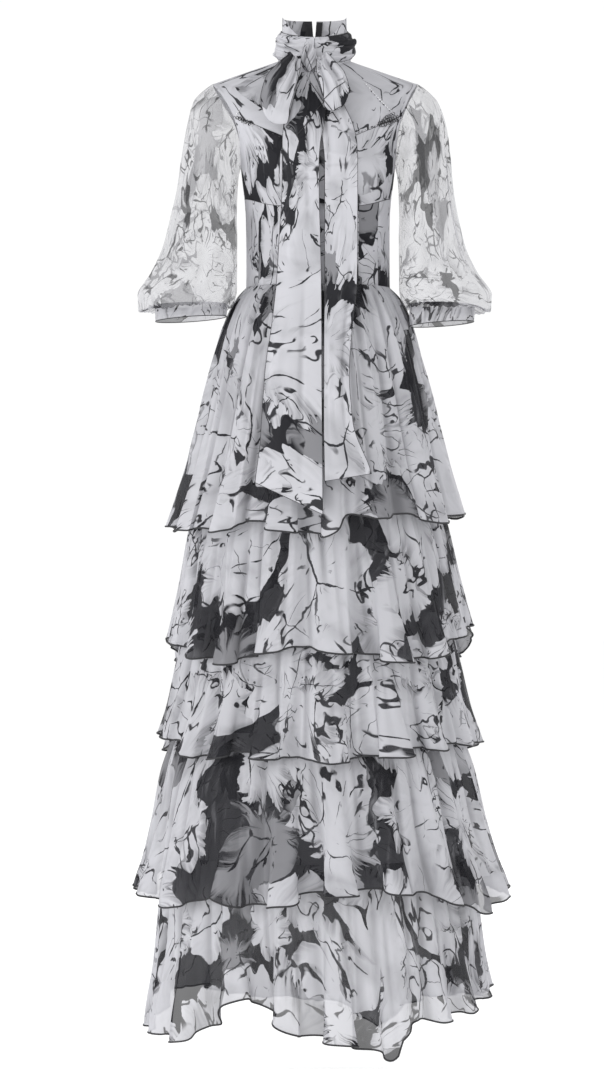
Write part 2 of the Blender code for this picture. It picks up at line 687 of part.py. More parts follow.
# The flounces. Each has a table of its half width by height, its count of waves all round, how far
# they stand out at the hem, and the hem's drops across the front.
FLOUNCES = {
    "tier_1": {
        "width": Sections(
            "height half_width",
            (
                (-0.3736, 0.1125),
                (-0.389, 0.1290),
                (-0.4455, 0.1570),
                (-0.507, 0.1755),
                (-0.554, 0.1880),
                (-0.596, 0.1980),
                (-0.630, 0.2070),
                (-0.668, 0.2170),
                (-0.740, 0.2400),
                (-0.775, 0.2520),
            ),
        ),
        "waves": 16,
        "reach": 0.014,
        "rows": 6,
        "hem": -0.768,
        "drops": ((-1, 0.000), (-0.7, 0.006), (-0.45, -0.004), (-0.1, 0.010), (0.03, 0.014),
                  (0.2, -0.016), (0.55, -0.018), (0.8, -0.010), (1, -0.024)),
    },
    "tier_2": {
        "width": Sections(
            "height half_width",
            ((-0.700, 0.1917), (-0.776, 0.2130), (-0.860, 0.2330), (-0.930, 0.2520),
             (-0.975, 0.2680)),
        ),
        "waves": 18,
        "reach": 0.016,
        "rows": 4,
        "hem": -0.972,
        "drops": ((-1, -0.010), (-0.75, 0.014), (-0.55, 0.020), (-0.33, -0.002), (-0.15, -0.010),
                  (0.05, 0.000), (0.4, 0.014), (0.6, 0.018), (0.85, -0.008), (1, -0.038)),
    },
    "tier_3": {
        "width": Sections(
            "height half_width",
            ((-0.905, 0.2117), (-0.985, 0.2320), (-1.060, 0.2480), (-1.120, 0.2680),
             (-1.150, 0.2780)),
        ),
        "waves": 18,
        "reach": 0.016,
        "rows": 4,
        "hem": -1.142,
        "drops": ((-1, -0.026), (-0.85, -0.022), (-0.5, 0.002), (-0.1, 0.012), (0.2, 0.010),
                  (0.6, 0.000), (0.85, -0.012), (1, -0.018)),
    },
    "tier_4": {
        "width": Sections(
            "height half_width",
            ((-1.095, 0.2297), (-1.165, 0.2480), (-1.250, 0.2700), (-1.320, 0.2930),
             (-1.365, 0.3080)),
        ),
        "waves": 20,
        "reach": 0.019,
        "rows": 4,
        "hem": -1.366,
        "drops": ((-1, 0.000), (-0.85, 0.018), (-0.62, 0.019), (-0.58, -0.006), (-0.4, -0.022),
                  (-0.15, 0.014), (0.15, -0.004), (0.3, 0.003), (0.48, 0.006), (0.7, 0.008),
                  (0.85, 0.022), (1, -0.004)),
    },
    "tier_5": {
        "width": Sections(
            "height half_width",
            ((-1.300, 0.2467), (-1.380, 0.2630), (-1.480, 0.2750), (-1.560, 0.2880),
             (-1.620, 0.2980)),
        ),
        "waves": 20,
        "reach": 0.017,
        "rows": 4,
        "hem": -1.592,
        "drops": ((-1, 0.010), (-0.85, 0.008), (-0.6, -0.006), (-0.45, -0.044), (-0.25, -0.028),
                  (-0.12, 0.012), (0.05, 0.022), (0.22, 0.044), (0.33, 0.010), (0.5, -0.006),
                  (0.75, -0.022), (0.9, -0.034), (1, -0.058)),
    },
}
HEM_LIFT_AT_CREST = 0.004
BACK_HEM_SHIFT = 0.45  # moves the back's drops away from where the front has them
WAVE_POWER = 1.5
WAVE_DRIFTS = ((3, 0.050, 1.0), (5, 0.035, 2.1))  # turns round the hem, size and where each begins
WAVE_GAIN_MEAN = 0.78
WAVE_GAIN_SWING = 0.22
WAVE_GAIN_START = 0.7


def skirt_ring(half_width, z, angle):
    """A section of the skirt: angle 0 in front, 90 degrees to the right, 180 behind."""
    ahead = np.cos(angle)
    flat = np.where(ahead >= 0, FRONT_FLATNESS.at("share", z), BACK_FLATNESS.at("share", z))
    return half_width * np.sin(angle), -half_width * flat * ahead


def base_skirt(z, angle):
    """Points of the skirt that carries the flounces."""
    x, y = skirt_ring(BASE_SKIRT.at("half_width", z), z, angle)
    return np.stack(np.broadcast_arrays(x, y, z), axis=-1)


def wave_place(phase, waves):
    """The angle round the hem at a wave phase, so that the waves are uneven but close up."""
    turn = phase / waves
    drift = sum(size * np.sin(count * turn + start * waves) for count, size, start in WAVE_DRIFTS)
    return turn + drift


def wave_gain(angle, waves):
    """How much of the full reach a wave has, uneven round the hem."""
    swell = np.sin(2 * angle + WAVE_GAIN_START * waves) * np.cos(3 * angle + waves)
    return WAVE_GAIN_MEAN + WAVE_GAIN_SWING * swell


def hem_height(spec, angle):
    """The hem's height round the flounce: the drops seen in front, and like ones behind."""
    rows = Sections("across drop", spec["drops"])
    behind = np.clip(np.sin(angle) + BACK_HEM_SHIFT * np.sin(2 * angle), -1, 1)
    across = np.where(np.cos(angle) >= 0, np.sin(angle), behind)
    return spec["hem"] - rows.at("drop", across)


def flounce(spec, share, phase):
    """Points of a flounce: share 0 at its seam, 1 at its hem; phase counts its waves all round."""
    angle = wave_place(phase, spec["waves"])
    top = spec["width"].rows[-1, 0]
    hem = hem_height(spec, angle)
    stand = spec["reach"] * wave_gain(angle, spec["waves"]) * np.sin(phase) * share**WAVE_POWER
    z = top + (hem - top) * share - HEM_LIFT_AT_CREST * np.sin(phase) * share**2
    x, y = skirt_ring(spec["width"].at("half_width", z) + stand, z, angle)
    return np.stack(np.broadcast_arrays(x, y, z), axis=-1)


def phase_at(angle, waves):
    """The wave phase at an angle round the hem, by bisection."""
    low = (angle - 0.2) * waves
    high = (angle + 0.2) * waves
    for _ in range(50):
        middle = (low + high) / 2
        if wave_place(middle, waves) < angle:
            low = middle
        else:
            high = middle
    return low


def skirt_panels():
    """The panels round a skirt piece as start and end angles, split at the sides or also behind."""
    quarter = math.pi / 2
    halves = {"front": (-quarter, quarter), "back": (quarter, 3 * quarter)}
    zipped = {
        "front": (-quarter, quarter),
        "back_right": (quarter, 2 * quarter),
        "back_left": (2 * quarter, 3 * quarter),
    }
    return halves, zipped


def skirt_panel(name, points, finish):
    """A skirt piece's wall. The first and last columns lie past its seams and only set normals."""
    normals = grid_normals(points, False)
    facing = (points[..., :2] * normals[..., :2]).sum(axis=-1).mean()
    normals = normals if facing > 0 else -normals
    points = draw_back(points[:, 1:-1], ("start", "end"), SEAM)
    return cloth(name, points, normals[:, 1:-1], WALL, finish)


def with_neighbours(steps):
    """The steps with one more before and one more after them."""
    before = 2 * steps[0] - steps[1]
    after = 2 * steps[-1] - steps[-2]
    return np.concatenate([[before], steps, [after]])


def make_skirt(finish, lining_finish):
    """The base skirt and its five flounces."""
    halves, zipped = skirt_panels()
    heights = np.array([BASE_TOP, -0.395, -0.440, ZIP_BOTTOM, -0.700, -0.905, -1.095, BASE_BOTTOM])
    for part, (start, end) in zipped.items():
        columns = 13 if part == "front" else 7
        angle = with_neighbours(np.linspace(start, end, columns))
        points = base_skirt(heights[:, None] + 0 * angle, angle + 0 * heights[:, None])
        skirt_panel(f"base_skirt_{part}", points, lining_finish)
    for name, spec in FLOUNCES.items():
        share = np.linspace(0, 1, spec["rows"])
        if name == "tier_1":
            share = np.array([0, 0.035, 0.16, 0.42, 0.72, 1.0])
        for part, (start, end) in (zipped if name == "tier_1" else halves).items():
            first = phase_at(start, spec["waves"])
            last = phase_at(end, spec["waves"])
            quarter_wave = math.pi / 2
            inside = np.arange(math.ceil(first / quarter_wave + 0.3), last / quarter_wave - 0.3)
            phase = with_neighbours(np.concatenate([[first], inside * quarter_wave, [last]]))
            points = flounce(spec, share[:, None] + 0 * phase, phase + 0 * share[:, None])
            skirt_panel(f"{name}_{part}", points, finish)


# The zip behind the neck. Its tapes lie inside the collar, the back and the base skirt.
TAPE_WIDTH = 0.0100
TAPE_WALL = 0.0010
TAPE_SET_BACK = 0.0008  # from the edge of the cloth to the tape's edge
TAPE_UNDER_CLOTH = 0.0010
TAPE_BENDS = ((WAIST, 0.018, 0.0022), (0.008, 0.020, 0.0010))  # height, run, and how far it steps in
ZIP_TOP = 0.075
ZIP_BOTTOM = -0.500
NECK_BEND_RADIUS = 0.056

# The slider and its pull tab. The tab's top bar turns in the eye of the slider's rib.
SLIDER_HEIGHT = 0.0435
SLIDER_BODY = (0.0052, 0.0022, 0.0090)
SLIDER_INSIDE = 0.0066  # from the collar's outer face in to the slider's inner face
RIB_WIDTH = 0.0012
RIB_DEEP = 0.0026
EYE_RADIUS = 0.0020
EYE_HOLE = 0.0009
PIN_OUT = 0.0032  # from the collar's outer face out to the tab's axis
PULL_WIDTH = 0.0064
PULL_LENGTH = 0.0240
PULL_THICK = 0.0008
PULL_BAR = 0.0008
WINDOW_WIDTH = 0.0036
WINDOW_HEIGHT = 0.0042


def opening_at(z):
    """Half the gap between the edges of the zip at a height."""
    return ZIP_OPEN_TOP * np.clip((z - ZIP_OPEN_FROM) / (COLLAR_BACK_TOP - ZIP_OPEN_FROM), 0, 1)


def back_line(z):
    """The depth of the centre back at a height, from the collar down to the base skirt."""
    skirt_depth = BASE_SKIRT.at("half_width", z) * BACK_FLATNESS.at("share", z)
    depth = np.where(z > NECK_BACK, COLLAR.at("back", z), BODICE.at("back", z))
    return np.where(z < WAIST, skirt_depth, depth)


def make_zip_tapes(finish):
    """The two tapes, from the collar's top edge down to below the hips."""
    heights = np.array([ZIP_TOP, 0.062, 0.050, 0.038, 0.026, 0.014, 0.000, -0.03, -0.07, -0.12,
                        -0.18, -0.24, -0.30, -0.355, -0.373, -0.395, -0.440, ZIP_BOTTOM])
    start = TAPE_SET_BACK + opening_at(heights)
    inset = np.where(heights > 0.010, DOUBLE_WALL, WALL) + TAPE_UNDER_CLOTH
    for place, run, depth in TAPE_BENDS:
        inset = inset + depth * np.exp(-(((heights - place) / run) ** 2))
    for name, sign in (("left", -1), ("right", 1)):
        outer = np.zeros((len(heights), 3, 3))
        for column in range(3):
            x = start + TAPE_WIDTH * column / 2
            bend = 1 - np.sqrt(1 - (x / NECK_BEND_RADIUS) ** 2)
            outer[:, column, 0] = sign * x
            outer[:, column, 1] = back_line(heights) * (1 - bend) - inset
            outer[:, column, 2] = heights
        normals = np.zeros_like(outer)
        normals[..., 1] = 1.0
        cloth(f"zip_tape_{name}", lean(outer), normals, TAPE_WALL, finish)


def block(name, size, middle):
    """A box of the given size round its middle, as an object of its own."""
    form = bmesh.new()
    bmesh.ops.create_cube(form, size=1.0)
    bmesh.ops.scale(form, vec=size, verts=form.verts)
    bmesh.ops.translate(form, vec=middle, verts=form.verts)
    mesh = bpy.data.meshes.new(name)
    form.to_mesh(mesh)
    form.free()
    return bpy.data.objects.new(name, mesh)


def round_bar(name, radius, length, middle):
    """A round bar along X, as an object of its own."""
    quarter = math.radians(90)
    bpy.ops.mesh.primitive_cylinder_add(
        vertices=16, radius=radius, depth=length, location=middle, rotation=(0, quarter, 0)
    )
    bar = bpy.context.object
    bar.name = name
    for owner in list(bar.users_collection):
        owner.objects.unlink(bar)
    return bar


def join_or_cut(piece, other, operation):
    """Joins another form to a piece, or cuts it out, and files the other form as a cutter."""
    CUTTERS.objects.link(other)
    other.hide_render = True
    other.display_type = "WIRE"
    step = piece.modifiers.new(other.name, "BOOLEAN")
    step.operation = operation
    step.object = other


def make_slider(finish):
    """The slider inside the neck, its rib through the gap, and the pull tab outside."""
    face = float(COLLAR.at("back", SLIDER_HEIGHT))
    pin = (NECK_LEAN, face + PIN_OUT, SLIDER_HEIGHT)
    body_y = face - SLIDER_INSIDE + SLIDER_BODY[1] / 2
    slider = block("zip_slider", SLIDER_BODY, (NECK_LEAN, body_y, SLIDER_HEIGHT))
    slider.data.materials.append(finish)
    DRESS.objects.link(slider)
    rib_length = pin[1] - body_y
    rib = block("rib", (RIB_WIDTH, rib_length, RIB_DEEP), (NECK_LEAN, body_y + rib_length / 2, pin[2]))
    join_or_cut(slider, rib, "UNION")
    join_or_cut(slider, round_bar("eye", EYE_RADIUS, RIB_WIDTH * 1.001, pin), "UNION")
    join_or_cut(slider, round_bar("eye_hole", EYE_HOLE, RIB_WIDTH * 3, pin), "DIFFERENCE")
    drop = PULL_LENGTH / 2 - PULL_BAR / 2
    pull = block("zip_pull", (PULL_WIDTH, PULL_THICK, PULL_LENGTH), (0, 0, -drop))
    pull.location = pin
    pull.data.materials.append(finish)
    DRESS.objects.link(pull)
    window_size = (WINDOW_WIDTH, PULL_THICK * 3, WINDOW_HEIGHT)
    window = block("window", window_size, (0, 0, -PULL_BAR / 2 - WINDOW_HEIGHT / 2))
    window.location = pin
    join_or_cut(pull, window, "DIFFERENCE")


def start_afresh():
    """Empties the file and makes the collections for the dress and for its cutters."""
    for old in list(bpy.data.objects):
        bpy.data.objects.remove(old, do_unlink=True)
    made = []
    for name in ("tiered_maxi_dress", "cutters"):
        collection = bpy.data.collections.new(name)
        bpy.context.scene.collection.children.link(collection)
        made.append(collection)
    return made


DRESS, CUTTERS = start_afresh()


def main():
    printed = paint("printed_chiffon", (0.55, 0.55, 0.58), 0.85)
    sheer = paint("sheer_chiffon", (0.66, 0.66, 0.69), 0.80)
    lining = paint("lining_chiffon", (0.30, 0.30, 0.32), 0.85)
    tape = paint("zip_tape_cloth", (0.02, 0.02, 0.022), 0.90)
    metal = paint("zip_metal_black", (0.03, 0.03, 0.03), 0.35)
    make_bodice(printed)
    make_collar(printed)
    make_tie_band(printed)
    make_bow(printed)
    make_tails(printed)
    make_sleeves(sheer)
    make_cuffs(printed)
    make_skirt(printed, lining)
    make_zip_tapes(tape)
    make_slider(metal)


if __name__ == "__main__":
    main()
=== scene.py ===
"""The finish of a tiered maxi dress of printed chiffon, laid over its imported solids.

Metres, but for the tables of sections, folds and paths, whose lengths are in millimetres. +Z is up,
the front faces -Y and +X is to the right of someone who looks at the front. Each cloth piece is a
fine sheet on the same form as its solid, with the folds that hang in it.
"""

import math
from collections import namedtuple

import bmesh
import bpy
import numpy as np
from bpy.props import FloatProperty, FloatVectorProperty, PointerProperty
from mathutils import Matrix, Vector
from mathutils.bvhtree import BVHTree


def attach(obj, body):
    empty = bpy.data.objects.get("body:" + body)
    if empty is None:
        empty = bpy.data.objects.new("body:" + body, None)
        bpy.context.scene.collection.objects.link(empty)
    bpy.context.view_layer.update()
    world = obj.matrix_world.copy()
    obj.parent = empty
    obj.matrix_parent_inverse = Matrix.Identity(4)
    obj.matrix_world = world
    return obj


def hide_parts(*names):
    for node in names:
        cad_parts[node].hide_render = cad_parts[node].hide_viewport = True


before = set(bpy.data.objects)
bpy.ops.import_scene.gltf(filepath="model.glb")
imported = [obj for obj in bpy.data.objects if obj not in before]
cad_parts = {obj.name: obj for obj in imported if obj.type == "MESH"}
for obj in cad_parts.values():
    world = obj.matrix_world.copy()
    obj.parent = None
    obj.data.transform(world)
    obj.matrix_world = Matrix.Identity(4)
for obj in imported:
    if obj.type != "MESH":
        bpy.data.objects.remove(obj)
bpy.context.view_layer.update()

bl_info = {
    "name": "Tiered chiffon dress",
    "version": (1, 0, 0),
    "blender": (4, 5, 0),
    "location": "3D View > Sidebar > Dress",
    "description": "Builds the cloth, trims, zip and studio of a tiered maxi dress",
    "category": "Object",
}

# Sizes that the solids have too
NECK_HALF = 0.060
SHOULDER_RUN = 0.108
SHOULDER_DROP = 0.037
ARMHOLE_MIDDLE = -0.1005
ARMHOLE_HALF_HEIGHT = 0.0675
ARMHOLE_SKEW = 0.004
ARMHOLE_HALF_DEPTH = 0.048
WAIST = -0.373
NECK_LEAN = -0.006
LEAN_FROM = -0.12
LEAN_RUN = 0.11
CUP_SWELL = 0.012
CUP_ACROSS = 0.062
CUP_HEIGHT = -0.188
CUP_SPREAD = 0.042

MM = 0.001
# Columns of tables that hold no lengths. All others are in millimetres
PLAIN_COLUMNS = {"line", "round", "bend", "share", "across", "station", "ring"}
SIDES = (("left", -1), ("right", 1))


def bell(value, middle, width):
    """A soft bump of height 1 round the middle."""
    beside = (value - middle) / width
    return np.exp(-beside * beside)


def bounded(value):
    """The value, kept between 0 and 1."""
    return np.clip(value, 0, 1)


def eased(value):
    """Kept between 0 and 1, with a soft start and end."""
    value = bounded(value)
    return value * value * (3 - 2 * value)


def wave(degrees):
    """The sine of an angle in degrees."""
    return np.sin(np.radians(degrees))


def places(x, y, z):
    """Points from three coordinates, each a number or an array."""
    return np.stack(np.broadcast_arrays(x, y, z), axis=-1)


def flat(across, along, shift):
    """Places on the flat cloth, shifted to a stretch of the print of their own."""
    return np.stack([across, along], axis=-1) + shift


def unit_length(vectors):
    return vectors / np.maximum(np.linalg.norm(vectors, axis=-1, keepdims=True), 1e-12)


class Sections:
    """A short table of sections, read on a smooth curve that never overshoots its rows."""

    def __init__(self, columns, rows):
        self.columns = columns.split()
        units = [1 if column in PLAIN_COLUMNS else 1000 for column in self.columns]
        self.rows = np.array(sorted(rows)) / units

    def at(self, column, key):
        x = self.rows[:, 0]
        y = self.rows[:, self.columns.index(column)]
        run = np.diff(x)
        rise = np.diff(y) / run
        slope = np.zeros(len(x))
        slope[0] = rise[0]
        slope[-1] = rise[-1]
        both = rise[:-1] * rise[1:]
        steady = both > 0
        mean = 2 * both / np.where(steady, rise[:-1] + rise[1:], 1)
        slope[1:-1] = np.where(steady, mean, 0)
        key = np.clip(np.asarray(key, float), x[0], x[-1])
        i = np.clip(np.searchsorted(x, key) - 1, 0, len(x) - 2)
        t = (key - x[i]) / run[i]
        a = (1 + 2 * t) * (1 - t) ** 2
        b = t * (1 - t) ** 2
        c = t * t * (3 - 2 * t)
        d = t * t * (t - 1)
        return a * y[i] + b * run[i] * slope[i] + c * y[i + 1] + d * run[i] * slope[i + 1]


# The torso, a row for each height
BODICE = Sections("height half_width front back", (
    (12, 60, 50, 57), (0, 60, 52, 56), (-20, 118, 56, 62), (-37, 168, 61, 69),
    (-60, 155, 69, 79), (-96.5, 138, 84, 89), (-135, 129, 99, 93), (-172, 127, 108, 93),
    (-200, 124, 107, 90), (-230, 120.5, 99, 86), (-260, 118.5, 91, 82), (-300, 118, 85, 79),
    (-340, 118, 83, 78), (-373, 118.5, 82, 78),
))
# Lines round the torso, from the neck down to the waist
LINES = Sections("line front_middle back_middle side_seam round bend dip", (
    (0, -20, 12, 0, 0.5, 2, 0), (1, -45, -12, 0, 0.5, 1.6, 0), (2, -72, -35, 0, 0.55, 1.4, 0),
    (3, -96, -58, 0, 0.75, 1.2, 0), (4, -127, -80, 0, 0.9, 1.1, 0), (5, -163, -102, 0, 1, 1, 0),
    (6, -173, -124, 0, 1, 1.1, 0), (7, -186, -146, 0, 0.8, 1.3, 2),
    (8, -205, -170, -172, 0.55, 1.5, 6), (9, -236, -215, -228, 0.5, 1.5, 14),
    (10, -272, -258, -268, 0.5, 1, 8), (11, -306, -300, -304, 0.5, 1, 2),
    (12, -340, -338, -339, 0.5, 1, 0), (13, -373, -373, -373, 0.5, 1, 0),
))
SHOULDER_TIP_LINE = 2
YOKE_LINE = 5
UNDERARM_LINE = 8
CUP_LINE = 9
WAIST_LINE = 13
INNER_SEAM_TURN = 33.75  # where the midriff's seams cross a half front
OUTER_SEAM_TURN = 56.25


def lean(points):
    """Shifts the neck and shoulders a little to one side, as the dress stands."""
    points[..., 0] += NECK_LEAN * eased((points[..., 2] - LEAN_FROM) / LEAN_RUN)
    return points


def armhole(turn):
    """The +X side's armhole seam: turn 0 at the shoulder tip, 90 in front, 180 under the arm."""
    angle = np.radians(turn)
    z = ARMHOLE_MIDDLE + ARMHOLE_HALF_HEIGHT * np.cos(angle) - ARMHOLE_SKEW * np.cos(2 * angle)
    return BODICE.at("half_width", z), -ARMHOLE_HALF_DEPTH * np.sin(angle), z


def side_end(line, face):
    """The outer end of a line round the torso: x, y and height. Face is -1 in front, 1 behind."""
    share = bounded(line / SHOULDER_TIP_LINE)
    hole_x, hole_y, hole_z = armhole(np.clip((line - SHOULDER_TIP_LINE) * 30, 0, 180))
    seam_z = LINES.at("side_seam", line)
    on_shoulder = line < SHOULDER_TIP_LINE
    on_side = line > UNDERARM_LINE
    x = np.where(on_shoulder, NECK_HALF + SHOULDER_RUN * share, hole_x)
    x = np.where(on_side, BODICE.at("half_width", seam_z), x)
    z = np.where(on_shoulder, -SHOULDER_DROP * share, np.where(on_side, seam_z, hole_z))
    return x, np.where(on_shoulder | on_side, 0, -face * hole_y), z


def torso(line, turn, face):
    """Points of the torso: turn runs from -90 at the left seam, by 0 at the middle, to 90."""
    angle = np.radians(turn)
    across = np.sin(angle)
    side_x, side_y, side_z = side_end(line, face)
    middle = LINES.at("front_middle" if face < 0 else "back_middle", line)
    z = middle + (side_z - middle) * np.abs(across) ** LINES.at("bend", line)
    z = z - LINES.at("dip", line) * np.sin(np.pi * np.abs(across)) * (face < 0)
    full = np.abs(np.cos(angle)) ** (2 * LINES.at("round", line))
    depth = BODICE.at("front" if face < 0 else "back", z)
    x = side_x * across
    if face < 0:
        swell = bell(np.abs(x), CUP_ACROSS, CUP_SPREAD) * bell(z, CUP_HEIGHT, CUP_SPREAD)
        depth = depth + CUP_SWELL * swell
    return lean(places(x, face * depth * full + side_y * (1 - full), z))


def torso_normals(line, turn, face):
    """Normals of the torso from the form itself, so that two panels agree along their seam."""
    step = 0.04
    low, high = (np.clip(turn + 60 * way * step, -90, 90) for way in (-1, 1))
    upper, lower = (np.clip(line + way * step, 0, WAIST_LINE) for way in (-1, 1))
    across = torso(line, high, face) - torso(line, low, face)
    down = torso(lower, turn, face) - torso(upper, turn, face)
    return unit_length(np.cross(across, down) * face)


def grid_normals(points, ring=False):
    """The normal at each point of a grid of rows and columns."""
    if ring:
        open_ring = points[:, :-1]
        along = np.roll(open_ring, -1, axis=1) - np.roll(open_ring, 1, axis=1)
        along = np.concatenate([along, along[:, :1]], axis=1)
    else:
        along = np.gradient(points, axis=1)
    return unit_length(np.cross(along, np.gradient(points, axis=0)))


def raised(points, relief, centre, ring=False):
    """The points, moved out from the centre by the relief."""
    normals = grid_normals(points, ring)
    facing = ((points - centre) * normals).sum(axis=-1).mean()
    return points + (normals if facing > 0 else -normals) * relief[..., None]


def raised_forward(points, relief):
    """The points of a flat hanging piece, moved to the front by the relief."""
    normals = grid_normals(points)
    facing = normals[40, points.shape[1] // 2, 1] < 0
    return points + (normals if facing else -normals) * relief[..., None]


# The stand collar
COLLAR = Sections("height half_width front back", (
    (-20, 60, 56, 58), (0, 60, 52, 56), (12, 60, 51, 57), (30, 55.5, 50, 56), (50, 53.5, 50, 54),
    (76, 53, 50, 53),
))
NECK_FRONT = -0.020
NECK_BACK = 0.012
COLLAR_FRONT_TOP = 0.026
COLLAR_SIDE_TOP = 0.073
COLLAR_BACK_TOP = 0.077
COLLAR_RISE_POWER = 2.2
COLLAR_END_TURN = 179.8
ZIP_OPEN_TOP = 0.0035
ZIP_OPEN_FROM = 0.034


def opening_at(z):
    """Half the gap between the edges of the zip at a height."""
    return ZIP_OPEN_TOP * bounded((z - ZIP_OPEN_FROM) / (COLLAR_BACK_TOP - ZIP_OPEN_FROM))


def collar(share, turn):
    """Points of the collar: share 0 at the neck seam, 1 at the top; turn 0 in front, 180 behind."""
    angle = np.radians(turn)
    across = np.sin(angle)
    ahead = np.cos(angle)
    front = ahead >= 0
    neck = np.where(front, NECK_FRONT, NECK_BACK) * (1 - across**2)
    rise = np.abs(across) ** COLLAR_RISE_POWER
    top_front = COLLAR_FRONT_TOP + (COLLAR_SIDE_TOP - COLLAR_FRONT_TOP) * rise
    top_back = COLLAR_BACK_TOP - (COLLAR_BACK_TOP - COLLAR_SIDE_TOP) * across**2
    z = neck + (np.where(front, top_front, top_back) - neck) * share
    near_back = bounded((np.abs(turn) - 120) / 60)
    x = COLLAR.at("half_width", z) * across + np.sign(turn) * opening_at(z) * near_back
    return lean(places(x, -np.where(front, COLLAR.at("front", z), COLLAR.at("back", z)) * ahead, z))


TIE_BAND = Sections("share height out", (
    (0, -12, 0.2), (0.2, -3, 8), (0.36, 5, 6.2), (0.52, 13, 8.8), (0.7, 20, 5.6),
    (0.85, 26, 5.8), (1, 32, 0.2),
))
TIE_BAND_CLEAR = 0.0016
TIE_BAND_BACK_RISE = 0.028
TIE_BAND_SIDE_RISE = 0.004
TIE_BAND_END = 165
TIE_BAND_MEETS = 0.36


def tie_band(share, turn):
    """Points of the band that is wrapped round the collar, higher at the back than in front."""
    angle = np.radians(turn)
    across = np.sin(angle)
    ahead = np.cos(angle)
    rise = TIE_BAND_BACK_RISE * (1 - ahead) / 2 + TIE_BAND_SIDE_RISE * across * across
    z = TIE_BAND.at("height", share) + rise
    out = TIE_BAND.at("out", share) + TIE_BAND_CLEAR
    depth = np.where(ahead >= 0, COLLAR.at("front", z), COLLAR.at("back", z)) + out
    return lean(places((COLLAR.at("half_width", z) + out) * across, -depth * ahead, z))


LOOPS = {
    "left": Sections("station x y z half_width", (
        (0, -37.3, -76.3, -4, 11), (1, -48, -106, -28, 19), (2, -63, -120, -60, 26),
        (3, -70, -122, -90, 26), (4, -70, -113, -108, 22), (5, -65, -104, -97, 20),
        (6, -54, -95, -60, 18), (7, -38.5, -72.8, -16, 11),
    )),
    "right": Sections("station x y z half_width", (
        (0, 5.4, -76.3, -3, 10), (1, 12, -104, -24, 17), (2, 23, -117, -48, 22),
        (3, 29, -118, -72, 23), (4, 29, -110, -86, 20), (5, 25, -101, -72, 18),
        (6, 17, -94, -48, 15), (7, 7.2, -73.8, -14, 10),
    )),
}
LOOP_ACROSS = {"left": (0.88, 0.0, -0.47), "right": (0.88, 0.0, 0.47)}
LOOP_CROWN = 0.003
KNOT_CENTRE = (-0.0155, -0.0741, -0.006)
KNOT_HALF = (0.0125, 0.0125, 0.0230)


def loop(name, along, across):
    """Points of a bow loop: along 0 to 7 from end to end, across -1 to 1 over its width."""
    table = LOOPS[name]
    middle = np.stack([table.at(axis, along) for axis in "xyz"], axis=-1)
    wide = np.array(LOOP_ACROSS[name])
    points = middle + wide * (table.at("half_width", along) * across)[..., None]
    layer = np.cos(np.pi * bounded(along / 7))
    points[..., 1] += LOOP_CROWN * layer * across**2 * np.sin(np.pi * along / 7)
    return points


TAILS = {
    "left": Sections("height left right reach", (
        (-30, -27, -7.5, 70), (-60, -42, 4, 80.5), (-90, -52, 11, 91.5), (-120, -56, 9, 104.5),
        (-150, -58, 3, 113.5), (-185, -58, 0.8, 120), (-228, -58.5, 1, 120.5),
        (-300, -63, 3, 113), (-373, -67.5, 4.5, 108), (-450, -76, 5, 126), (-525, -86, 5, 155),
        (-629, -92.4, 5.5, 190), (-698, -100, 6, 215), (-750, -102, 6, 234),
    )),
    "right": Sections("height left right reach", (
        (-20, -6.2, 8, 66.2), (-60, -8, 30, 77.5), (-90, -4, 44, 88), (-120, 3, 56, 101),
        (-150, 7.5, 62, 111), (-185, 10, 63, 120), (-228, 10, 63, 120.5), (-300, 10, 63, 113),
        (-373, 10, 62, 108), (-450, 9, 54, 126), (-525, 8.5, 49, 155), (-600, 8, 54, 181),
        (-690, 9, 84, 212), (-700, 9, 85, 215),
    )),
}
TAIL_TOPS = {"left": -0.0294, "right": -0.0200}
TAIL_ENDS = {"left": (-0.698, -0.748), "right": (-0.696, -0.684)}
TAIL_FOLD = 0.0050
TAIL_FOLD_WIDTH = 0.20
TAIL_FOLD_AT = {"left": 0.36, "right": 0.45}
TAIL_LIFT = 0.004
TAIL_BEND_RADIUS = 0.30
TAIL_BEND_FROM = -0.40
TAIL_BEND_RUN = 0.20


def tail(name, share, across):
    """Points of a tail: share 0 at the knot, 1 at its cut end; across 0 to 1, left to right."""
    left_end, right_end = TAIL_ENDS[name]
    end = left_end + (right_end - left_end) * across
    z = TAIL_TOPS[name] + (end - TAIL_TOPS[name]) * share
    table = TAILS[name]
    left = table.at("left", z)
    x = left + (table.at("right", z) - left) * across
    fold = TAIL_FOLD * bell(across, TAIL_FOLD_AT[name], TAIL_FOLD_WIDTH) * np.sqrt(share)
    bend = x * x / (2 * TAIL_BEND_RADIUS) * bounded((TAIL_BEND_FROM - z) / TAIL_BEND_RUN)
    return places(x, -(table.at("reach", z) + TAIL_LIFT + fold - bend), z)


# The sleeve, a row for each ring below the armhole
SLEEVE = Sections("ring outer_x outer_z inner_x inner_z half_depth forward", (
    (0, 168.8, -37, 127.8, -172, 48, 0), (1, 198, -64, 131, -190, 62, -2),
    (2, 211, -112, 133.5, -220, 70, -6), (3, 218, -163, 134.5, -255, 74, -10),
    (4, 223, -213, 133.5, -290, 78, -16), (5, 232, -262, 133.5, -322, 81, -22),
    (6, 244, -312, 133.5, -350, 85, -28), (7, 263, -352, 133.5, -376, 88, -32),
    (8, 286, -388, 137, -396, 88, -35), (9, 286, -410, 143, -404, 80, -35),
    (10, 260, -404.5, 150, -402, 56, -35),
))
SLEEVE_FOLDS = 6
SLEEVE_FOLD = 0.0035
SLEEVE_FOLD_DRIFT = 0.9
SLEEVE_FOLD_START = 0.6
SLEEVE_INNER_FOLD = 0.25
SLEEVE_SWING = {"left": 0.006, "right": -0.005}
SWING_RINGS = 5
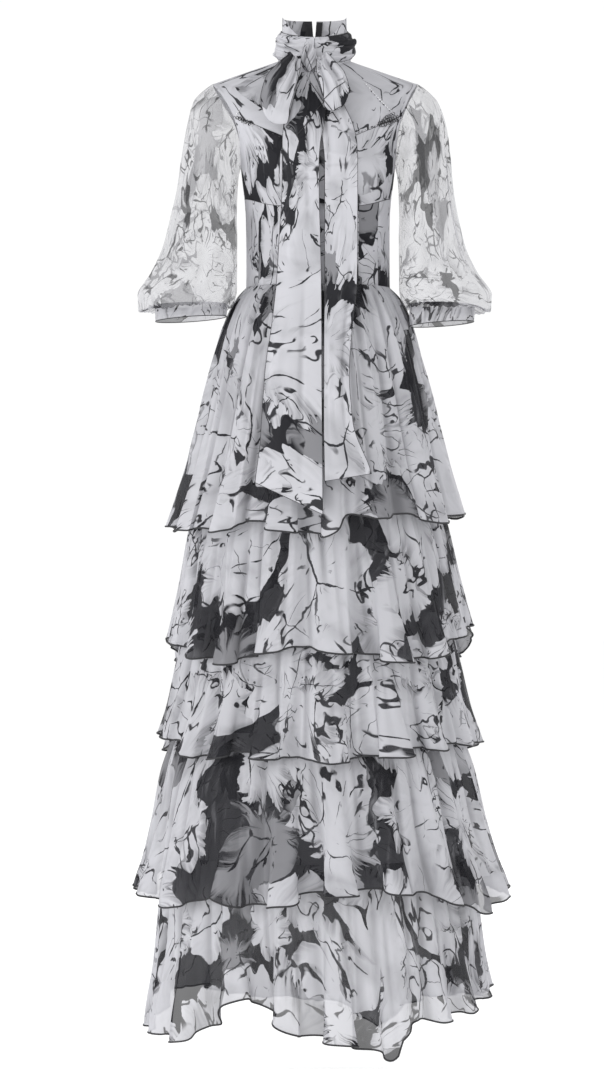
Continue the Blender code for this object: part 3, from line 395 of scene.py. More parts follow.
LAST_RING = 10
CUFF_INNER = 0.1500
CUFF_WIDTH = 0.1100
CUFF_FORWARD = 0.0350
CUFF_HALF_DEPTH = 0.0560
CUFF_TOP = -0.4045
CUFF_TOP_SLOPE = 0.0025
CUFF_DEPTH = 0.0266
CUFF_SLOPE = {"left": 0.006, "right": -0.010}


def swing(name, ring):
    """How far out a sleeve hangs from the measured mean, growing from nothing at the armhole."""
    return SLEEVE_SWING[name] * bounded(ring / SWING_RINGS)


def sleeve(name, ring, turn):
    """Points of a sleeve on the +X side: turn 0 outside, 90 in front, 180 inside, 270 behind."""
    angle = np.radians(turn)
    outer_x, inner_x, outer_z, inner_z = (
        SLEEVE.at(column, ring) for column in ("outer_x", "inner_x", "outer_z", "inner_z")
    )
    at_hole = bounded(1 - ring)
    outside = (1 + np.cos(angle)) / 2
    x = inner_x + (outer_x + swing(name, ring) - inner_x) * outside
    y = SLEEVE.at("forward", ring) - SLEEVE.at("half_depth", ring) * np.sin(angle)
    z = inner_z + (outer_z - inner_z) * outside
    x, y, z = (own * (1 - at_hole) + hole * at_hole for own, hole in zip((x, y, z), armhole(turn)))
    strength = bounded(ring / 2) * bounded((LAST_RING - ring) / 2)
    drift = SLEEVE_FOLD_DRIFT * np.sin(angle * 2 + SLEEVE_FOLD_START)
    folds = np.sin(np.radians(turn * SLEEVE_FOLDS) + drift)
    ease = SLEEVE_FOLD * strength * folds
    ease = ease * (SLEEVE_INNER_FOLD + (1 - SLEEVE_INNER_FOLD) * outside)
    return places(x + ease * np.cos(angle), y - ease * np.sin(angle), z)


def cuff(name, share, turn):
    """Points of a cuff on the +X side, under the sleeve's last ring."""
    angle = np.radians(turn)
    outside = (1 + np.cos(angle)) / 2
    x = CUFF_INNER + (CUFF_WIDTH + swing(name, LAST_RING)) * outside
    y = -CUFF_FORWARD - CUFF_HALF_DEPTH * np.sin(angle)
    top = CUFF_TOP + CUFF_TOP_SLOPE * (1 - outside)
    bottom = top - CUFF_DEPTH + CUFF_SLOPE[name] * (1 - outside)
    return places(x, y, top + (bottom - top) * share)


def mirrored(points, sign):
    """The same points on the side that sign gives, with the neck's lean."""
    points = points.copy()
    points[..., 0] *= sign
    return lean(points)


# The skirt under the flounces
BASE_SKIRT = Sections("height half_width", (
    (-373, 116), (-400, 125), (-450, 140), (-550, 164), (-700, 190), (-905, 210), (-1095, 228),
    (-1300, 245), (-1335, 248),
))
BASE_BOTTOM = -1.335
FRONT_FLATNESS = Sections("height share", (
    (-373, 0.735), (-500, 0.775), (-750, 0.85),
))
BACK_FLATNESS = Sections("height share", (
    (-373, 0.7), (-500, 0.77), (-750, 0.85),
))

# The flounces: waves all round, their reach, the hem's height, and how far it is shifted to the
# right. Then rows of half widths by height, and of the hem's drops across the front and the back
Flounce = namedtuple("Flounce", "waves reach hem aside width drops behind")
FLOUNCES = {
    "tier_1": Flounce(
        16, 0.014, -0.768, 0.0,
        (
            (-373.6, 119), (-389, 131), (-445.5, 157), (-507, 175.5), (-554, 188), (-596, 198),
            (-630, 207), (-668, 217), (-740, 240), (-775, 252),
        ),
        (
            (-1, -2), (-0.7, 6), (-0.45, -6), (-0.1, 10), (0.03, 14), (0.2, -16), (0.55, -18),
            (0.8, -10), (1, -24),
        ),
        (
            (-1, 0), (-0.7, 6), (-0.45, -4), (-0.1, 10), (0.03, 14), (0.2, -16), (0.55, -18),
            (0.8, -10), (1, -24),
        ),
    ),
    "tier_2": Flounce(
        18, 0.016, -0.972, 0.006,
        (
            (-700, 191.7), (-776, 213), (-860, 232), (-930, 249), (-975, 262),
        ),
        (
            (-1, -22), (-0.75, 4), (-0.55, 10), (-0.33, -10), (-0.15, -12), (0.05, -10),
            (0.4, 4), (0.6, 8), (0.85, -22), (1, -44),
        ),
        (
            (-1, -22), (-0.75, 8), (-0.55, 18), (-0.33, -2), (-0.15, -10), (0.05, 0), (0.4, 12),
            (0.6, 10), (0.85, -22), (1, -44),
        ),
    ),
    "tier_3": Flounce(
        18, 0.016, -1.142, 0.0,
        (
            (-905, 211.7), (-985, 232), (-1060, 248), (-1120, 268), (-1150, 278),
        ),
        (
            (-1, -38), (-0.85, -24), (-0.7, -6), (-0.5, -16), (-0.1, -8), (0.2, -8), (0.6, -20),
            (0.85, -24), (1, -22),
        ),
        (
            (-1, -26), (-0.85, -22), (-0.5, 2), (-0.1, 12), (0.2, 10), (0.6, 0), (0.85, -12),
            (1, -18),
        ),
    ),
    "tier_4": Flounce(
        20, 0.019, -1.366, 0.007,
        (
            (-1095, 229.7), (-1165, 254.5), (-1250, 273.5), (-1310, 290.5), (-1340, 302),
            (-1365, 310),
        ),
        (
            (-1, -12), (-0.85, 4), (-0.66, -4), (-0.58, -22), (-0.42, -2), (-0.2, -12), (0, -26),
            (0.3, -28), (0.48, -24), (0.7, -2), (0.85, 16), (1, -8),
        ),
        (
            (-1, 0), (-0.85, 18), (-0.62, 19), (-0.58, -6), (-0.4, -22), (-0.15, 14), (0.15, -4),
            (0.3, 3), (0.48, 6), (0.7, 8), (0.85, 22), (1, -4),
        ),
    ),
    "tier_5": Flounce(
        20, 0.017, -1.592, 0.008,
        (
            (-1300, 246.7), (-1380, 262), (-1480, 273), (-1560, 288), (-1620, 296),
        ),
        (
            (-1, -8), (-0.85, -4), (-0.62, -36), (-0.48, -84), (-0.38, -70), (-0.25, -50),
            (-0.12, -26), (0.05, -22), (0.12, -18), (0.25, -2), (0.37, 8), (0.395, 1),
            (0.415, -24), (0.45, -34), (0.55, -42), (0.75, -46), (0.9, -60), (1, -70),
        ),
        (
            (-1, -8), (-0.85, -10), (-0.6, -20), (-0.45, -44), (-0.25, -40), (-0.12, -20),
            (0, -4), (0.055, 42), (0.11, -4), (0.22, -20), (0.33, -30), (0.5, -36), (0.75, -40),
            (0.9, -54), (1, -70),
        ),
    ),
}
HEM_LIFT_AT_CREST = 0.004
BACK_HEM_SHIFT = 0.45
WAVE_POWER = 1.5
WAVE_DRIFTS = ((3, 0.050, 1.0), (5, 0.035, 2.1))
WAVE_GAIN_MEAN = 0.78
WAVE_GAIN_SWING = 0.22
WAVE_GAIN_START = 0.7


def skirt_ring(half_width, z, angle):
    """A section of the skirt: angle 0 in front, 90 degrees to the right, 180 behind."""
    ahead = np.cos(angle)
    depth = np.where(ahead >= 0, FRONT_FLATNESS.at("share", z), BACK_FLATNESS.at("share", z))
    return half_width * np.sin(angle), -half_width * depth * ahead


def wave_place(phase, waves):
    """The angle round the hem at a wave phase, so that the waves are uneven but close up."""
    turn = phase / waves
    drift = sum(size * np.sin(count * turn + start * waves) for count, size, start in WAVE_DRIFTS)
    return turn + drift


def wave_gain(angle, waves):
    """How much of the full reach a wave has, uneven round the hem."""
    swell = np.sin(2 * angle + WAVE_GAIN_START * waves) * np.cos(3 * angle + waves)
    return WAVE_GAIN_MEAN + WAVE_GAIN_SWING * swell


def hem_height(spec, angle):
    """The hem's height round the flounce: the drops seen in front, and like ones behind."""
    front = Sections("across drop", spec.drops).at("drop", np.sin(angle))
    behind = np.clip(np.sin(angle) + BACK_HEM_SHIFT * np.sin(2 * angle), -1, 1)
    behind = Sections("across drop", spec.behind).at("drop", behind)
    ahead = bounded(np.cos(angle) * 3 + 1)
    return spec.hem - front * ahead - behind * (1 - ahead)


def phase_at(angle, waves):
    """The wave phase at an angle round the hem, by bisection."""
    low, high = (angle - 0.2) * waves, (angle + 0.2) * waves
    for _ in range(50):
        middle = (low + high) / 2
        if wave_place(middle, waves) < angle:
            low = middle
        else:
            high = middle
    return low


def creased(rows, share, across):
    """Soft ridges and troughs given one by one, in metres.

    Each runs from one side place to another, between two shares of the piece's length. Its width is
    in the units of the side places. Its height is in millimetres, and less than 0 in a trough.
    """
    total = np.zeros(np.broadcast(share, across).shape)
    for start, end, top, bottom, width, height in rows:
        line = start + (end - start) * bounded((share - top) / (bottom - top))
        window = eased(np.minimum(share - top, bottom - share) / (0.35 * (bottom - top)))
        total = total + height * MM * window * bell(across, line, width)
    return total


def ripples(angle, counts, seed):
    """Uneven small waves round a seam: several counts mixed, each with a start of its own."""
    rng = np.random.default_rng(seed)
    total = np.zeros_like(angle)
    for count in counts:
        total = total + rng.uniform(0.6, 1.0) * np.sin(count * angle + rng.uniform(0, 2 * np.pi))
    return total / len(counts)


def grid(rows, columns):
    """Two arrays over a grid: the first grows down its rows, the second along its columns."""
    rows, columns = np.asarray(rows, float), np.asarray(columns, float)
    return rows[:, None] + 0 * columns[None, :], columns[None, :] + 0 * rows[:, None]


# Making pieces


def put_in_scene(name, mesh):
    """An object on the mesh, in the dress's collection."""
    group = bpy.data.collections.get("dress")
    if group is None:
        group = bpy.data.collections.new("dress")
        bpy.context.scene.collection.children.link(group)
    piece = bpy.data.objects.new(name, mesh)
    group.objects.link(piece)
    return piece


def painted_shade_in_folds(relief, reach, depth):
    """How deep each point lies in a fold, 0 to 1, from the mean height of the cloth around it. It
    sets the painted shade in the folds' troughs.
    """
    mean = relief
    for axis, half in enumerate(reach):
        spare = [(0, 0), (0, 0)]
        spare[axis] = (half + 1, half)
        total = np.cumsum(np.pad(mean, spare, mode="edge"), axis=axis)
        count = relief.shape[axis]
        later = np.take(total, np.arange(2 * half + 1, 2 * half + 1 + count), axis=axis)
        earlier = np.take(total, np.arange(count), axis=axis)
        mean = (later - earlier) / (2 * half + 1)
    return bounded((mean - relief) / depth)


def lay_cloth(name, points, cut, finish, centre=None, painted_fold_shade=None, ring=False):
    """A sheet of quads on a grid of points, its faces turned away from the centre.

    The cut is the same grid on the flat cloth, in metres. A ring's first and last column are
    joined.
    """
    rows, columns = points.shape[:2]
    form = bmesh.new()
    bmesh.ops.create_grid(form, x_segments=columns - 1, y_segments=rows - 1, size=1)
    mesh = bpy.data.meshes.new(name + "_cloth")
    form.to_mesh(mesh)
    form.free()
    mesh.vertices.foreach_set("co", points.reshape(-1).astype(np.float32))
    corners = np.zeros(len(mesh.loops), np.int32)
    mesh.loops.foreach_get("vertex_index", corners)
    layer = mesh.uv_layers.new(name="cut")
    layer.data.foreach_set("uv", cut.reshape(-1, 2)[corners].reshape(-1).astype(np.float32))
    # Painted shade: the depth in a fold is stored in the 'fold' attribute, which darkens the colour
    # in the folds' troughs
    if painted_fold_shade is not None:
        fold = mesh.attributes.new("fold", "FLOAT", "POINT")
        fold.data.foreach_set("value", painted_fold_shade.reshape(-1).astype(np.float32))
    mesh.update()
    mesh.materials.append(finish)
    mesh.shade_smooth()
    piece = put_in_scene(name + "_cloth", mesh)
    if ring:
        form = bmesh.new()
        form.from_mesh(mesh)
        bmesh.ops.remove_doubles(form, verts=form.verts, dist=1e-6)
        form.to_mesh(mesh)
        form.free()
        mesh.shade_smooth()
    if centre is not None:
        mesh.update()
        middle = Vector(centre)
        if sum((face.center - middle).dot(face.normal) * face.area for face in mesh.polygons) < 0:
            mesh.flip_normals()
    return piece


def fit(piece, nodes=(), body="dress"):
    """The piece moves with its body and stands for its nodes, which are hidden."""
    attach(piece, body)
    if nodes:
        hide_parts(*nodes)
    return piece


# Nodes


def node(tree, kind, settings=None, inputs=None):
    """A node of the given kind, with its settings made first, then its sockets' values or links."""
    made = tree.nodes.new(kind)
    for name, value in (settings or {}).items():
        setattr(made, name, value)
    for name, value in (inputs or {}).items():
        value = value.socket if isinstance(value, Ink) else value
        if isinstance(value, bpy.types.NodeSocket):
            tree.links.new(value, made.inputs[name])
        else:
            made.inputs[name].default_value = value
    return made


def step(tree, kind, output, inputs, settings=None):
    """One output of a new node."""
    return node(tree, kind, settings, inputs).outputs[output]


class Ink:
    """A socket in a tree of shader nodes, so that sums on it read as plain arithmetic."""

    def __init__(self, tree, socket):
        self.tree = tree
        self.socket = socket

    def maths(self, operation, *others, turned=False):
        values = (*others, self) if turned else (self, *others)
        inputs = dict(enumerate(values))
        settings = {"operation": operation}
        return Ink(self.tree, step(self.tree, "ShaderNodeMath", 0, inputs, settings))

    def __add__(self, other):
        return self.maths("ADD", other)

    __radd__ = __add__

    def __mul__(self, other):
        return self.maths("MULTIPLY", other)

    __rmul__ = __mul__

    def __sub__(self, other):
        return self.maths("SUBTRACT", other)

    def __rsub__(self, other):
        return self.maths("SUBTRACT", other, turned=True)

    def __abs__(self):
        return self.maths("ABSOLUTE")

    def most(self, other):
        return self.maths("MAXIMUM", other)

    def rise(self, low, high):
        """0 below low, 1 above high, and smooth between."""
        inputs = {"Value": self, "From Min": low, "From Max": high}
        settings = {"interpolation_type": "SMOOTHSTEP"}
        return Ink(self.tree, step(self.tree, "ShaderNodeMapRange", "Result", inputs, settings))


# Trees of Geometry Nodes for what follows a path


def new_tree(name, inputs):
    """A tree of Geometry Nodes with the given inputs and their first values, and those inputs."""
    tree = bpy.data.node_groups.new(name, "GeometryNodeTree")

    def socket(label, kind, way="INPUT"):
        return tree.interface.new_socket(label, in_out=way, socket_type="NodeSocket" + kind)

    socket("Paths", "Geometry")
    for label, value in inputs.items():
        socket(label, "Int" if isinstance(value, int) else "Float").default_value = value
    socket("Finish", "Material")
    socket("Pieces", "Geometry", "OUTPUT")
    return tree, tree.nodes.new("NodeGroupInput").outputs


def end_tree(tree, source, shape):
    """Ends a tree: smooth, instances made real, and given their finish."""
    shape = step(tree, "GeometryNodeSetShadeSmooth", "Geometry", {"Geometry": shape})
    shape = step(tree, "GeometryNodeRealizeInstances", "Geometry", {"Geometry": shape})
    inputs = {"Geometry": shape, "Material": source["Finish"]}
    shape = step(tree, "GeometryNodeSetMaterial", "Geometry", inputs)
    node(tree, "NodeGroupOutput", {}, {"Pieces": shape})
    return tree


def swept(tree, curve, radius, sides, caps=False):
    """A round thread along a curve."""
    inputs = {"Resolution": sides, "Radius": radius}
    profile = step(tree, "GeometryNodeCurvePrimitiveCircle", "Curve", inputs)
    inputs = {"Curve": curve, "Profile Curve": profile, "Fill Caps": caps}
    return step(tree, "GeometryNodeCurveToMesh", "Mesh", inputs)


def repeated(tree, source, shape, size, rotation=None):
    """Ends a tree with one shape at even steps along each path."""
    curve = step(tree, "GeometryNodeMeshToCurve", "Curve", {"Mesh": source["Paths"]})
    inputs = {"Curve": curve, "Length": source["Spacing"]}
    steps = node(tree, "GeometryNodeCurveToPoints", {"mode": "LENGTH"}, inputs).outputs
    inputs = {"Points": steps["Points"], "Instance": shape, "Scale": size}
    inputs["Rotation"] = rotation or steps["Rotation"]
    return end_tree(tree, source, step(tree, "GeometryNodeInstanceOnPoints", "Instances", inputs))


def random_size(tree, source, highest):
    """A size for each instance, from 1 less the unevenness up to the highest."""
    inputs = {0: 1.0, 1: source["Unevenness"]}
    low = step(tree, "ShaderNodeMath", 0, inputs, {"operation": "SUBTRACT"})
    inputs = {2: low, 3: highest, "Seed": source["Seed"]}
    return step(tree, "FunctionNodeRandomValue", 1, inputs)


def rolled_edge_tree(name):
    """A thin round roll along each path."""
    tree, source = new_tree(name, {"Radius": 0.001, "Sides": 6})
    curve = step(tree, "GeometryNodeMeshToCurve", "Curve", {"Mesh": source["Paths"]})
    return end_tree(tree, source, swept(tree, curve, source["Radius"], source["Sides"], True))


def bead_tree(name):
    """Small beads at even steps along each path, each a little bigger or smaller."""
    inputs = {"Spacing": 0.003, "Radius": 0.001, "Length": 1.0, "Unevenness": 0.2, "Seed": 3}
    tree, source = new_tree(name, {**inputs, "Roundness": 1})
    inputs = {"Radius": source["Radius"], "Subdivisions": source["Roundness"]}
    bead = step(tree, "GeometryNodeMeshIcoSphere", "Mesh", inputs)
    inputs = {0: 1.0, 1: source["Unevenness"]}
    high = step(tree, "ShaderNodeMath", 0, inputs, {"operation": "ADD"})
    size = random_size(tree, source, high)
    inputs = {"X": 1.0, "Y": 1.0, "Z": source["Length"]}
    stretch = step(tree, "ShaderNodeCombineXYZ", "Vector", inputs)
    inputs = {"Vector": stretch, "Scale": size}
    scale = step(tree, "ShaderNodeVectorMath", "Vector", inputs, {"operation": "SCALE"})
    return repeated(tree, source, bead, scale)


def loop_tree(name):
    """Small thread loops side by side along each path."""
    inputs = {"Spacing": 0.003, "Radius": 0.001, "Thread": 0.0003, "Unevenness": 0.2, "Seed": 3}
    tree, source = new_tree(name, inputs)
    inputs = {"Resolution": 9, "Radius": source["Radius"]}
    circle = step(tree, "GeometryNodeCurvePrimitiveCircle", "Curve", inputs)
    ring = swept(tree, circle, source["Thread"], 5)
    upright = math.pi / 2
    inputs = {0: (upright - 0.5, -0.6, -0.5), 1: (upright + 0.5, 0.6, 0.5), "Seed": source["Seed"]}
    sway = step(tree, "FunctionNodeRandomValue", 0, inputs, {"data_type": "FLOAT_VECTOR"})
    return repeated(tree, source, ring, random_size(tree, source, 1.15), sway)


TREES = {
    "rolled_edge": rolled_edge_tree,
    "beads_on_a_path": bead_tree,
    "loops_on_a_path": loop_tree,
}


def along_paths(name, paths, tree_name, inputs, finish):
    """A piece made by a tree along polylines, as a plain mesh."""
    tree = bpy.data.node_groups.get(tree_name) or TREES[tree_name](tree_name)
    points, edges = [], []
    for path in paths:
        first = len(points)
        points.extend(tuple(map(float, point)) for point in path)
        edges.extend((first + i, first + i + 1) for i in range(len(path) - 1))
    mesh = bpy.data.meshes.new(name + "_path")
    mesh.from_pydata(points, edges, [])
    carrier = put_in_scene(name + "_path", mesh)
    modifier = carrier.modifiers.new(tree_name, "NODES")
    modifier.node_group = tree
    sockets = {item.name: item.identifier for item in tree.interface.items_tree}
    for label, value in {**inputs, "Finish": finish}.items():
        modifier[sockets[label]] = value
    evaluated = carrier.evaluated_get(bpy.context.evaluated_depsgraph_get())
    made = bpy.data.meshes.new_from_object(evaluated)
    made.name = name
    bpy.data.objects.remove(carrier, do_unlink=True)
    bpy.data.meshes.remove(mesh)
    return put_in_scene(name, made)


def rolled_edge(name, paths, radius):
    """The narrow black rolled hem along a piece's cut edges."""
    inputs = {"Radius": radius, "Sides": 6}
    return along_paths(name, paths, "rolled_edge", inputs, thread("black_thread"))


# The cloth's print


def vector_maths(tree, operation, a, b=None):
    """A Vector Math node on one or two vectors."""
    inputs = {0: a} if b is None else {0: a, 1: b}
    output = "Value" if operation == "LENGTH" else "Vector"
    return Ink(tree, step(tree, "ShaderNodeVectorMath", output, inputs, {"operation": operation}))


def noise(tree, place, scale, detail, output="Fac", rough=0.55):
    """A Noise texture at a place."""
    inputs = {"Vector": place, "Scale": scale, "Detail": detail, "Roughness": rough}
    return Ink(tree, step(tree, "ShaderNodeTexNoise", output, inputs))


def cells(tree, place, scale, settings=None):
    """The outputs of a flat Voronoi texture."""
    inputs = {"Vector": place, "Scale": scale, "Randomness": 1.0}
    settings = {"voronoi_dimensions": "2D", **(settings or {})}
    return node(tree, "ShaderNodeTexVoronoi", settings, inputs).outputs


def shifted(tree, place, scale, detail, reach):
    """The place, pushed about by noise by about that reach."""
    push = noise(tree, place, scale, detail, "Color")
    centred = vector_maths(tree, "SUBTRACT", push, (0.5, 0.5, 0.5))
    scaled = vector_maths(tree, "MULTIPLY", centred, (reach, reach, 0.0))
    return vector_maths(tree, "ADD", place, scaled)


def mixed(tree, factor, a, b):
    """Two colours mixed."""
    inputs = {0: factor, 6: (*a, 1), 7: (*b, 1)}
    return Ink(tree, step(tree, "ShaderNodeMix", 2, inputs, {"data_type": "RGBA"}))


def petal_layer(tree, place, width, seed, growth):
    """A layer of large ragged petals: how far inside one a place is, its feathering, its chance."""
    cell = cells(tree, place, 1 / width)
    split = node(tree, "ShaderNodeSeparateColor", {}, {"Color": cell["Color"]})
    first, second = Ink(tree, split.outputs[0]), Ink(tree, split.outputs[1])
    local = vector_maths(tree, "SUBTRACT", place, cell["Position"])
    distance = vector_maths(tree, "LENGTH", local)
    ray = vector_maths(tree, "NORMALIZE", local)

    def along_ray(spread, height):
        wide = ray if spread == 1 else vector_maths(tree, "MULTIPLY", ray, (spread, spread, 0.0))
        lift = step(tree, "ShaderNodeCombineXYZ", "Vector", {"Z": height})
        return vector_maths(tree, "ADD", wide, lift)

    turned = along_ray(1, first * 40 + seed)
    depth = distance * (0.7 / width) + first * 40
    outline = noise(tree, turned, 1.15, 1)
    ragged = noise(tree, turned, 0.8, 0).rise(0.45, 0.64)
    teeth = noise(tree, along_ray(6.5, depth), 1.0, 3, rough=0.60)
    veins = noise(tree, along_ray(2.2, depth), 1.0, 0)
    reach = (outline * 1.30 - 0.16 + second * 0.10 + growth) * width
    reach = reach - (1 - teeth.rise(0.36, 0.62)) * ragged * (0.14 * width)
    return reach - distance, distance, teeth, veins, ragged, first


SHARP = 0.0006  # how far, in metres, an edge of the print takes to turn from pale to dark


def print_group():
    """The cloth's print: large pale feathered petals on a dark ground, with uneven ink lines."""
    tree = bpy.data.node_groups.new("petal_print", "ShaderNodeTree")
    for label, way, kind in (("Cut", "INPUT", "Vector"), ("Growth", "INPUT", "Float"),
                             ("Tone", "OUTPUT", "Float")):
        tree.interface.new_socket(label, in_out=way, socket_type="NodeSocket" + kind)
    source = tree.nodes.new("NodeGroupInput").outputs
    look = bpy.context.scene.dress_print
    width, line = look.petal_width, look.line_width
    cut = vector_maths(tree, "MULTIPLY", source["Cut"], (1.10, 0.84, 1.0))
    growth = Ink(tree, source["Growth"])
    bent = shifted(tree, shifted(tree, cut, 4.0, 1, 0.19), 16.0, 2, 0.032)
    crinkled = shifted(tree, bent, 120.0, 2, 0.0036)
    # Two layers of petals on a cloudy ground
    inside, distance, teeth, veins, ragged, first = petal_layer(tree, crinkled, width, 0.0, growth)
    other = vector_maths(tree, "ADD", crinkled, (3.71, 1.93, 0.0))
    low_layer = petal_layer(tree, other, width * 0.7, 7.0, growth)
    under, _, low_teeth, _, low_ragged, low_first = low_layer
    over = inside.rise(0.0, SHARP)
    rim = 1 - inside.rise(0.0, width * 0.22)
    low_rim = 1 - under.rise(0.0, width * 0.16)
    clouds = noise(tree, bent, 15.0, 2)
    streak = 1 - teeth.rise(0.40, 0.66)
    low_streak = 1 - low_teeth.rise(0.40, 0.66)
    far = distance.rise(width * 0.16, width * 0.42)
    top_tone = 0.97 - clouds.rise(0.46, 0.75) * 0.24 - streak * rim * ragged * 0.44
    top_tone = top_tone - streak * far * 0.07
    top_tone = top_tone - noise(tree, bent, 60.0, 2).rise(0.50, 0.80) * 0.08
    low_tone = 0.93 - low_streak * low_rim * 0.45 - low_first.rise(0.74, 0.76) * 0.55
    wisps = noise(tree, vector_maths(tree, "MULTIPLY", bent, (60.0, 11.0, 1.0)), 1.0, 3)
    ground = 0.01 + wisps.rise(0.50, 0.78) * 0.34 * clouds.rise(0.40, 0.60)
    tone = ground + (low_tone - ground) * under.rise(0.0, SHARP)
    tone = tone + (top_tone - tone) * over
    # Ink: cracks, flowing strands, the petals' edges, their veins, and specks
    press = noise(tree, cut, 26.0, 2)
    thick = (press - 0.43).most(0.0) * (line * 13)
    border = cells(tree, crinkled, 1.15 / width, {"feature": "DISTANCE_TO_EDGE"})["Distance"]
    ink = 1 - (Ink(tree, border) * (width / 1.15) - thick * 0.40).rise(0.0, SHARP)
    ink = ink * clouds.rise(0.42, 0.46)
    for size, start in ((9.0, 0.0), (19.0, 5.3)):
        place = vector_maths(tree, "ADD", crinkled, (start, start * 0.6, 0.0))
        flow = noise(tree, place, size, 2)
        strand = 1 - (abs(flow - 0.5) - thick * (size * 0.30)).rise(0.0, 0.0005 * size)
        ink = ink.most(strand * noise(tree, place, 13.0, 1).rise(0.50, 0.53))
    edge = (1 - (abs(inside) - thick * 0.60).rise(0.0, SHARP)) * (0.45 + ragged * 0.55)
    low_edge = (1 - (abs(under) - thick * 0.55).rise(0.0, SHARP)) * (1 - over)
    spoke = (1 - (abs(veins - 0.5) * distance - thick * 0.07).rise(0.0, 0.00035)) * over
    spoke = spoke * distance.rise(width * 0.12, width * 0.20) * first.rise(0.45, 0.49)
    ink = ink.most(edge).most(low_edge * (0.4 + low_ragged * 0.6)).most(spoke * 0.85)
    ink = ink * press.rise(0.42, 0.47)
    speck_place = vector_maths(tree, "MULTIPLY", bent, (95.0, 60.0, 1.0))
    specks = noise(tree, speck_place, 1.0, 2).rise(0.655, 0.675)
    ink = ink.most(specks * (1 - inside.rise(width * 0.05, width * 0.14)) * clouds.rise(0.44, 0.52))
    node(tree, "NodeGroupOutput", {}, {"Tone": tone * (1 - ink * 0.96)})
    return tree


# Materials

# How much of what is behind it each chiffon hides in its pale and in its dark places, how much
# its petals grow, and how much painted shade darkens it
CHIFFONS = {
    "body_cloth": (1.0, 1.0, -0.06, 0.0),
    "yoke_cloth": (0.87, 0.90, 0.09, 0.0),
    "tie_cloth": (0.95, 0.98, -0.06, 0.0),
    "sleeve_cloth": (0.31, 0.74, 0.06, 0.0),
    "cuff_cloth": (0.70, 0.82, 0.0, 0.0),
    # The skirt under the flounces is made darker: painted shade
    "skirt_cloth": (1.0, 1.0, -0.05, 0.08),
    "flounce_cloth": (0.85, 0.82, -0.02, 0.0),
    "low_flounce_cloth": (0.85, 0.82, 0.03, 0.0),
    "last_flounce_cloth": (0.86, 0.86, -0.07, 0.0),
}
THREADS = {  # tone, roughness, and how much paler its flecks are
    "black_thread": ((0.012, 0.012, 0.014), 0.7, 0.6),
    "white_thread": ((0.62, 0.62, 0.64), 0.75, 0.2),
    "black_tape": ((0.012, 0.012, 0.014), 0.85, 0.8),
}
# How much the painted shade darkens the colour at the bottom of a fold
FOLD_SHADE = 0.32


def finished(name, paint):
    """The material of that name. When it is first asked for, paint makes its nodes."""
    material = bpy.data.materials.get(name)
    if material is None:
        material = bpy.data.materials.new(name)
        material.use_nodes = True
        paint(material.node_tree, material.node_tree.nodes["Principled BSDF"])
    return material


def lead(tree, value, shader, entry):
    """Links a value to one of the shader's inputs."""
    tree.links.new(value.socket if isinstance(value, Ink) else value, shader.inputs[entry])


def roughen(tree, shader, height, strength, distance):
    """Fine relief from a height."""
    inputs = {"Strength": strength, "Distance": distance, "Height": height}
    lead(tree, step(tree, "ShaderNodeBump", "Normal", inputs), shader, "Normal")


def object_place(tree):
    return Ink(tree, node(tree, "ShaderNodeTexCoord").outputs["Object"])


def chiffon(name):
    """Printed chiffon, with painted shade in the troughs of its folds."""
    pale_cover, dark_cover, growth, painted_shade_dimming = CHIFFONS[name]

    def paint(tree, shader):
        look = bpy.context.scene.dress_print
        group = bpy.data.node_groups.get("petal_print") or print_group()
        cut = Ink(tree, node(tree, "ShaderNodeUVMap", {"uv_map": "cut"}).outputs["UV"])
        inputs = {"Cut": cut, "Growth": growth}
        tone = Ink(tree, step(tree, "ShaderNodeGroup", "Tone", inputs, {"node_tree": group}))
        # Painted shade: darker where the 'fold' attribute marks a fold's trough, and darker still
        # on the skirt under the flounces
        fold = node(tree, "ShaderNodeAttribute", {"attribute_name": "fold"}).outputs["Fac"]
        shade = (1 - Ink(tree, fold) * FOLD_SHADE) * (1 - painted_shade_dimming)
        lead(tree, mixed(tree, tone * shade, look.ground, look.petal), shader, "Base Color")
        if pale_cover < 1:
            lead(tree, tone * (pale_cover - dark_cover) + dark_cover, shader, "Alpha")
        roughen(tree, shader, noise(tree, cut, 700.0, 1), 0.12, 0.0004)
        shader.inputs["Roughness"].default_value = 0.82
        shader.inputs["Specular IOR Level"].default_value = 0.15

    return finished(name, paint)


def thread(name):
    """Thread or tape of one colour, a little lighter and darker along it."""
    tone, roughness, grain = THREADS[name]

    def paint(tree, shader):
        fleck = noise(tree, object_place(tree), 900.0, 2)
        pale = tuple(min(1.0, part * (1 + grain) + 0.01) for part in tone)
        lead(tree, mixed(tree, fleck, tone, pale), shader, "Base Color")
        roughen(tree, shader, fleck, 0.3, 0.0003)
        shader.inputs["Roughness"].default_value = roughness

    return finished(name, paint)


def dark_metal(tree, shader):
    """The zip's black lacquered metal."""
    wear = noise(tree, object_place(tree), 400.0, 3)
    colour = mixed(tree, wear, (0.020, 0.020, 0.022), (0.055, 0.055, 0.060))
    lead(tree, colour, shader, "Base Color")
    lead(tree, wear.rise(0.3, 0.8) * 0.2 + 0.25, shader, "Roughness")
    shader.inputs["Metallic"].default_value = 0.9


# The torso

TUCKS = {
    "right": (
        (38, 37, 7.6, 1.5, -1.6), (45, 45.5, 8, 1.9, -2.2), (52, 54.5, 7.2, 1.6, -1.5),
        (60, 63, 7.4, 1.8, -1.8),
    ),
    "left": (
        (34, 33, 7, 1.6, -1.2), (43, 44, 7.7, 2, -1.8), (55, 58, 7.1, 1.8, -1.4),
    ),
}
# A tuck's turn at the yoke seam and at its end, the line of its end, width in degrees, and depth
SEAM_DENT = 0.0009
CUP_SEAM_DENT = 0.0012
PUFF = 0.0022


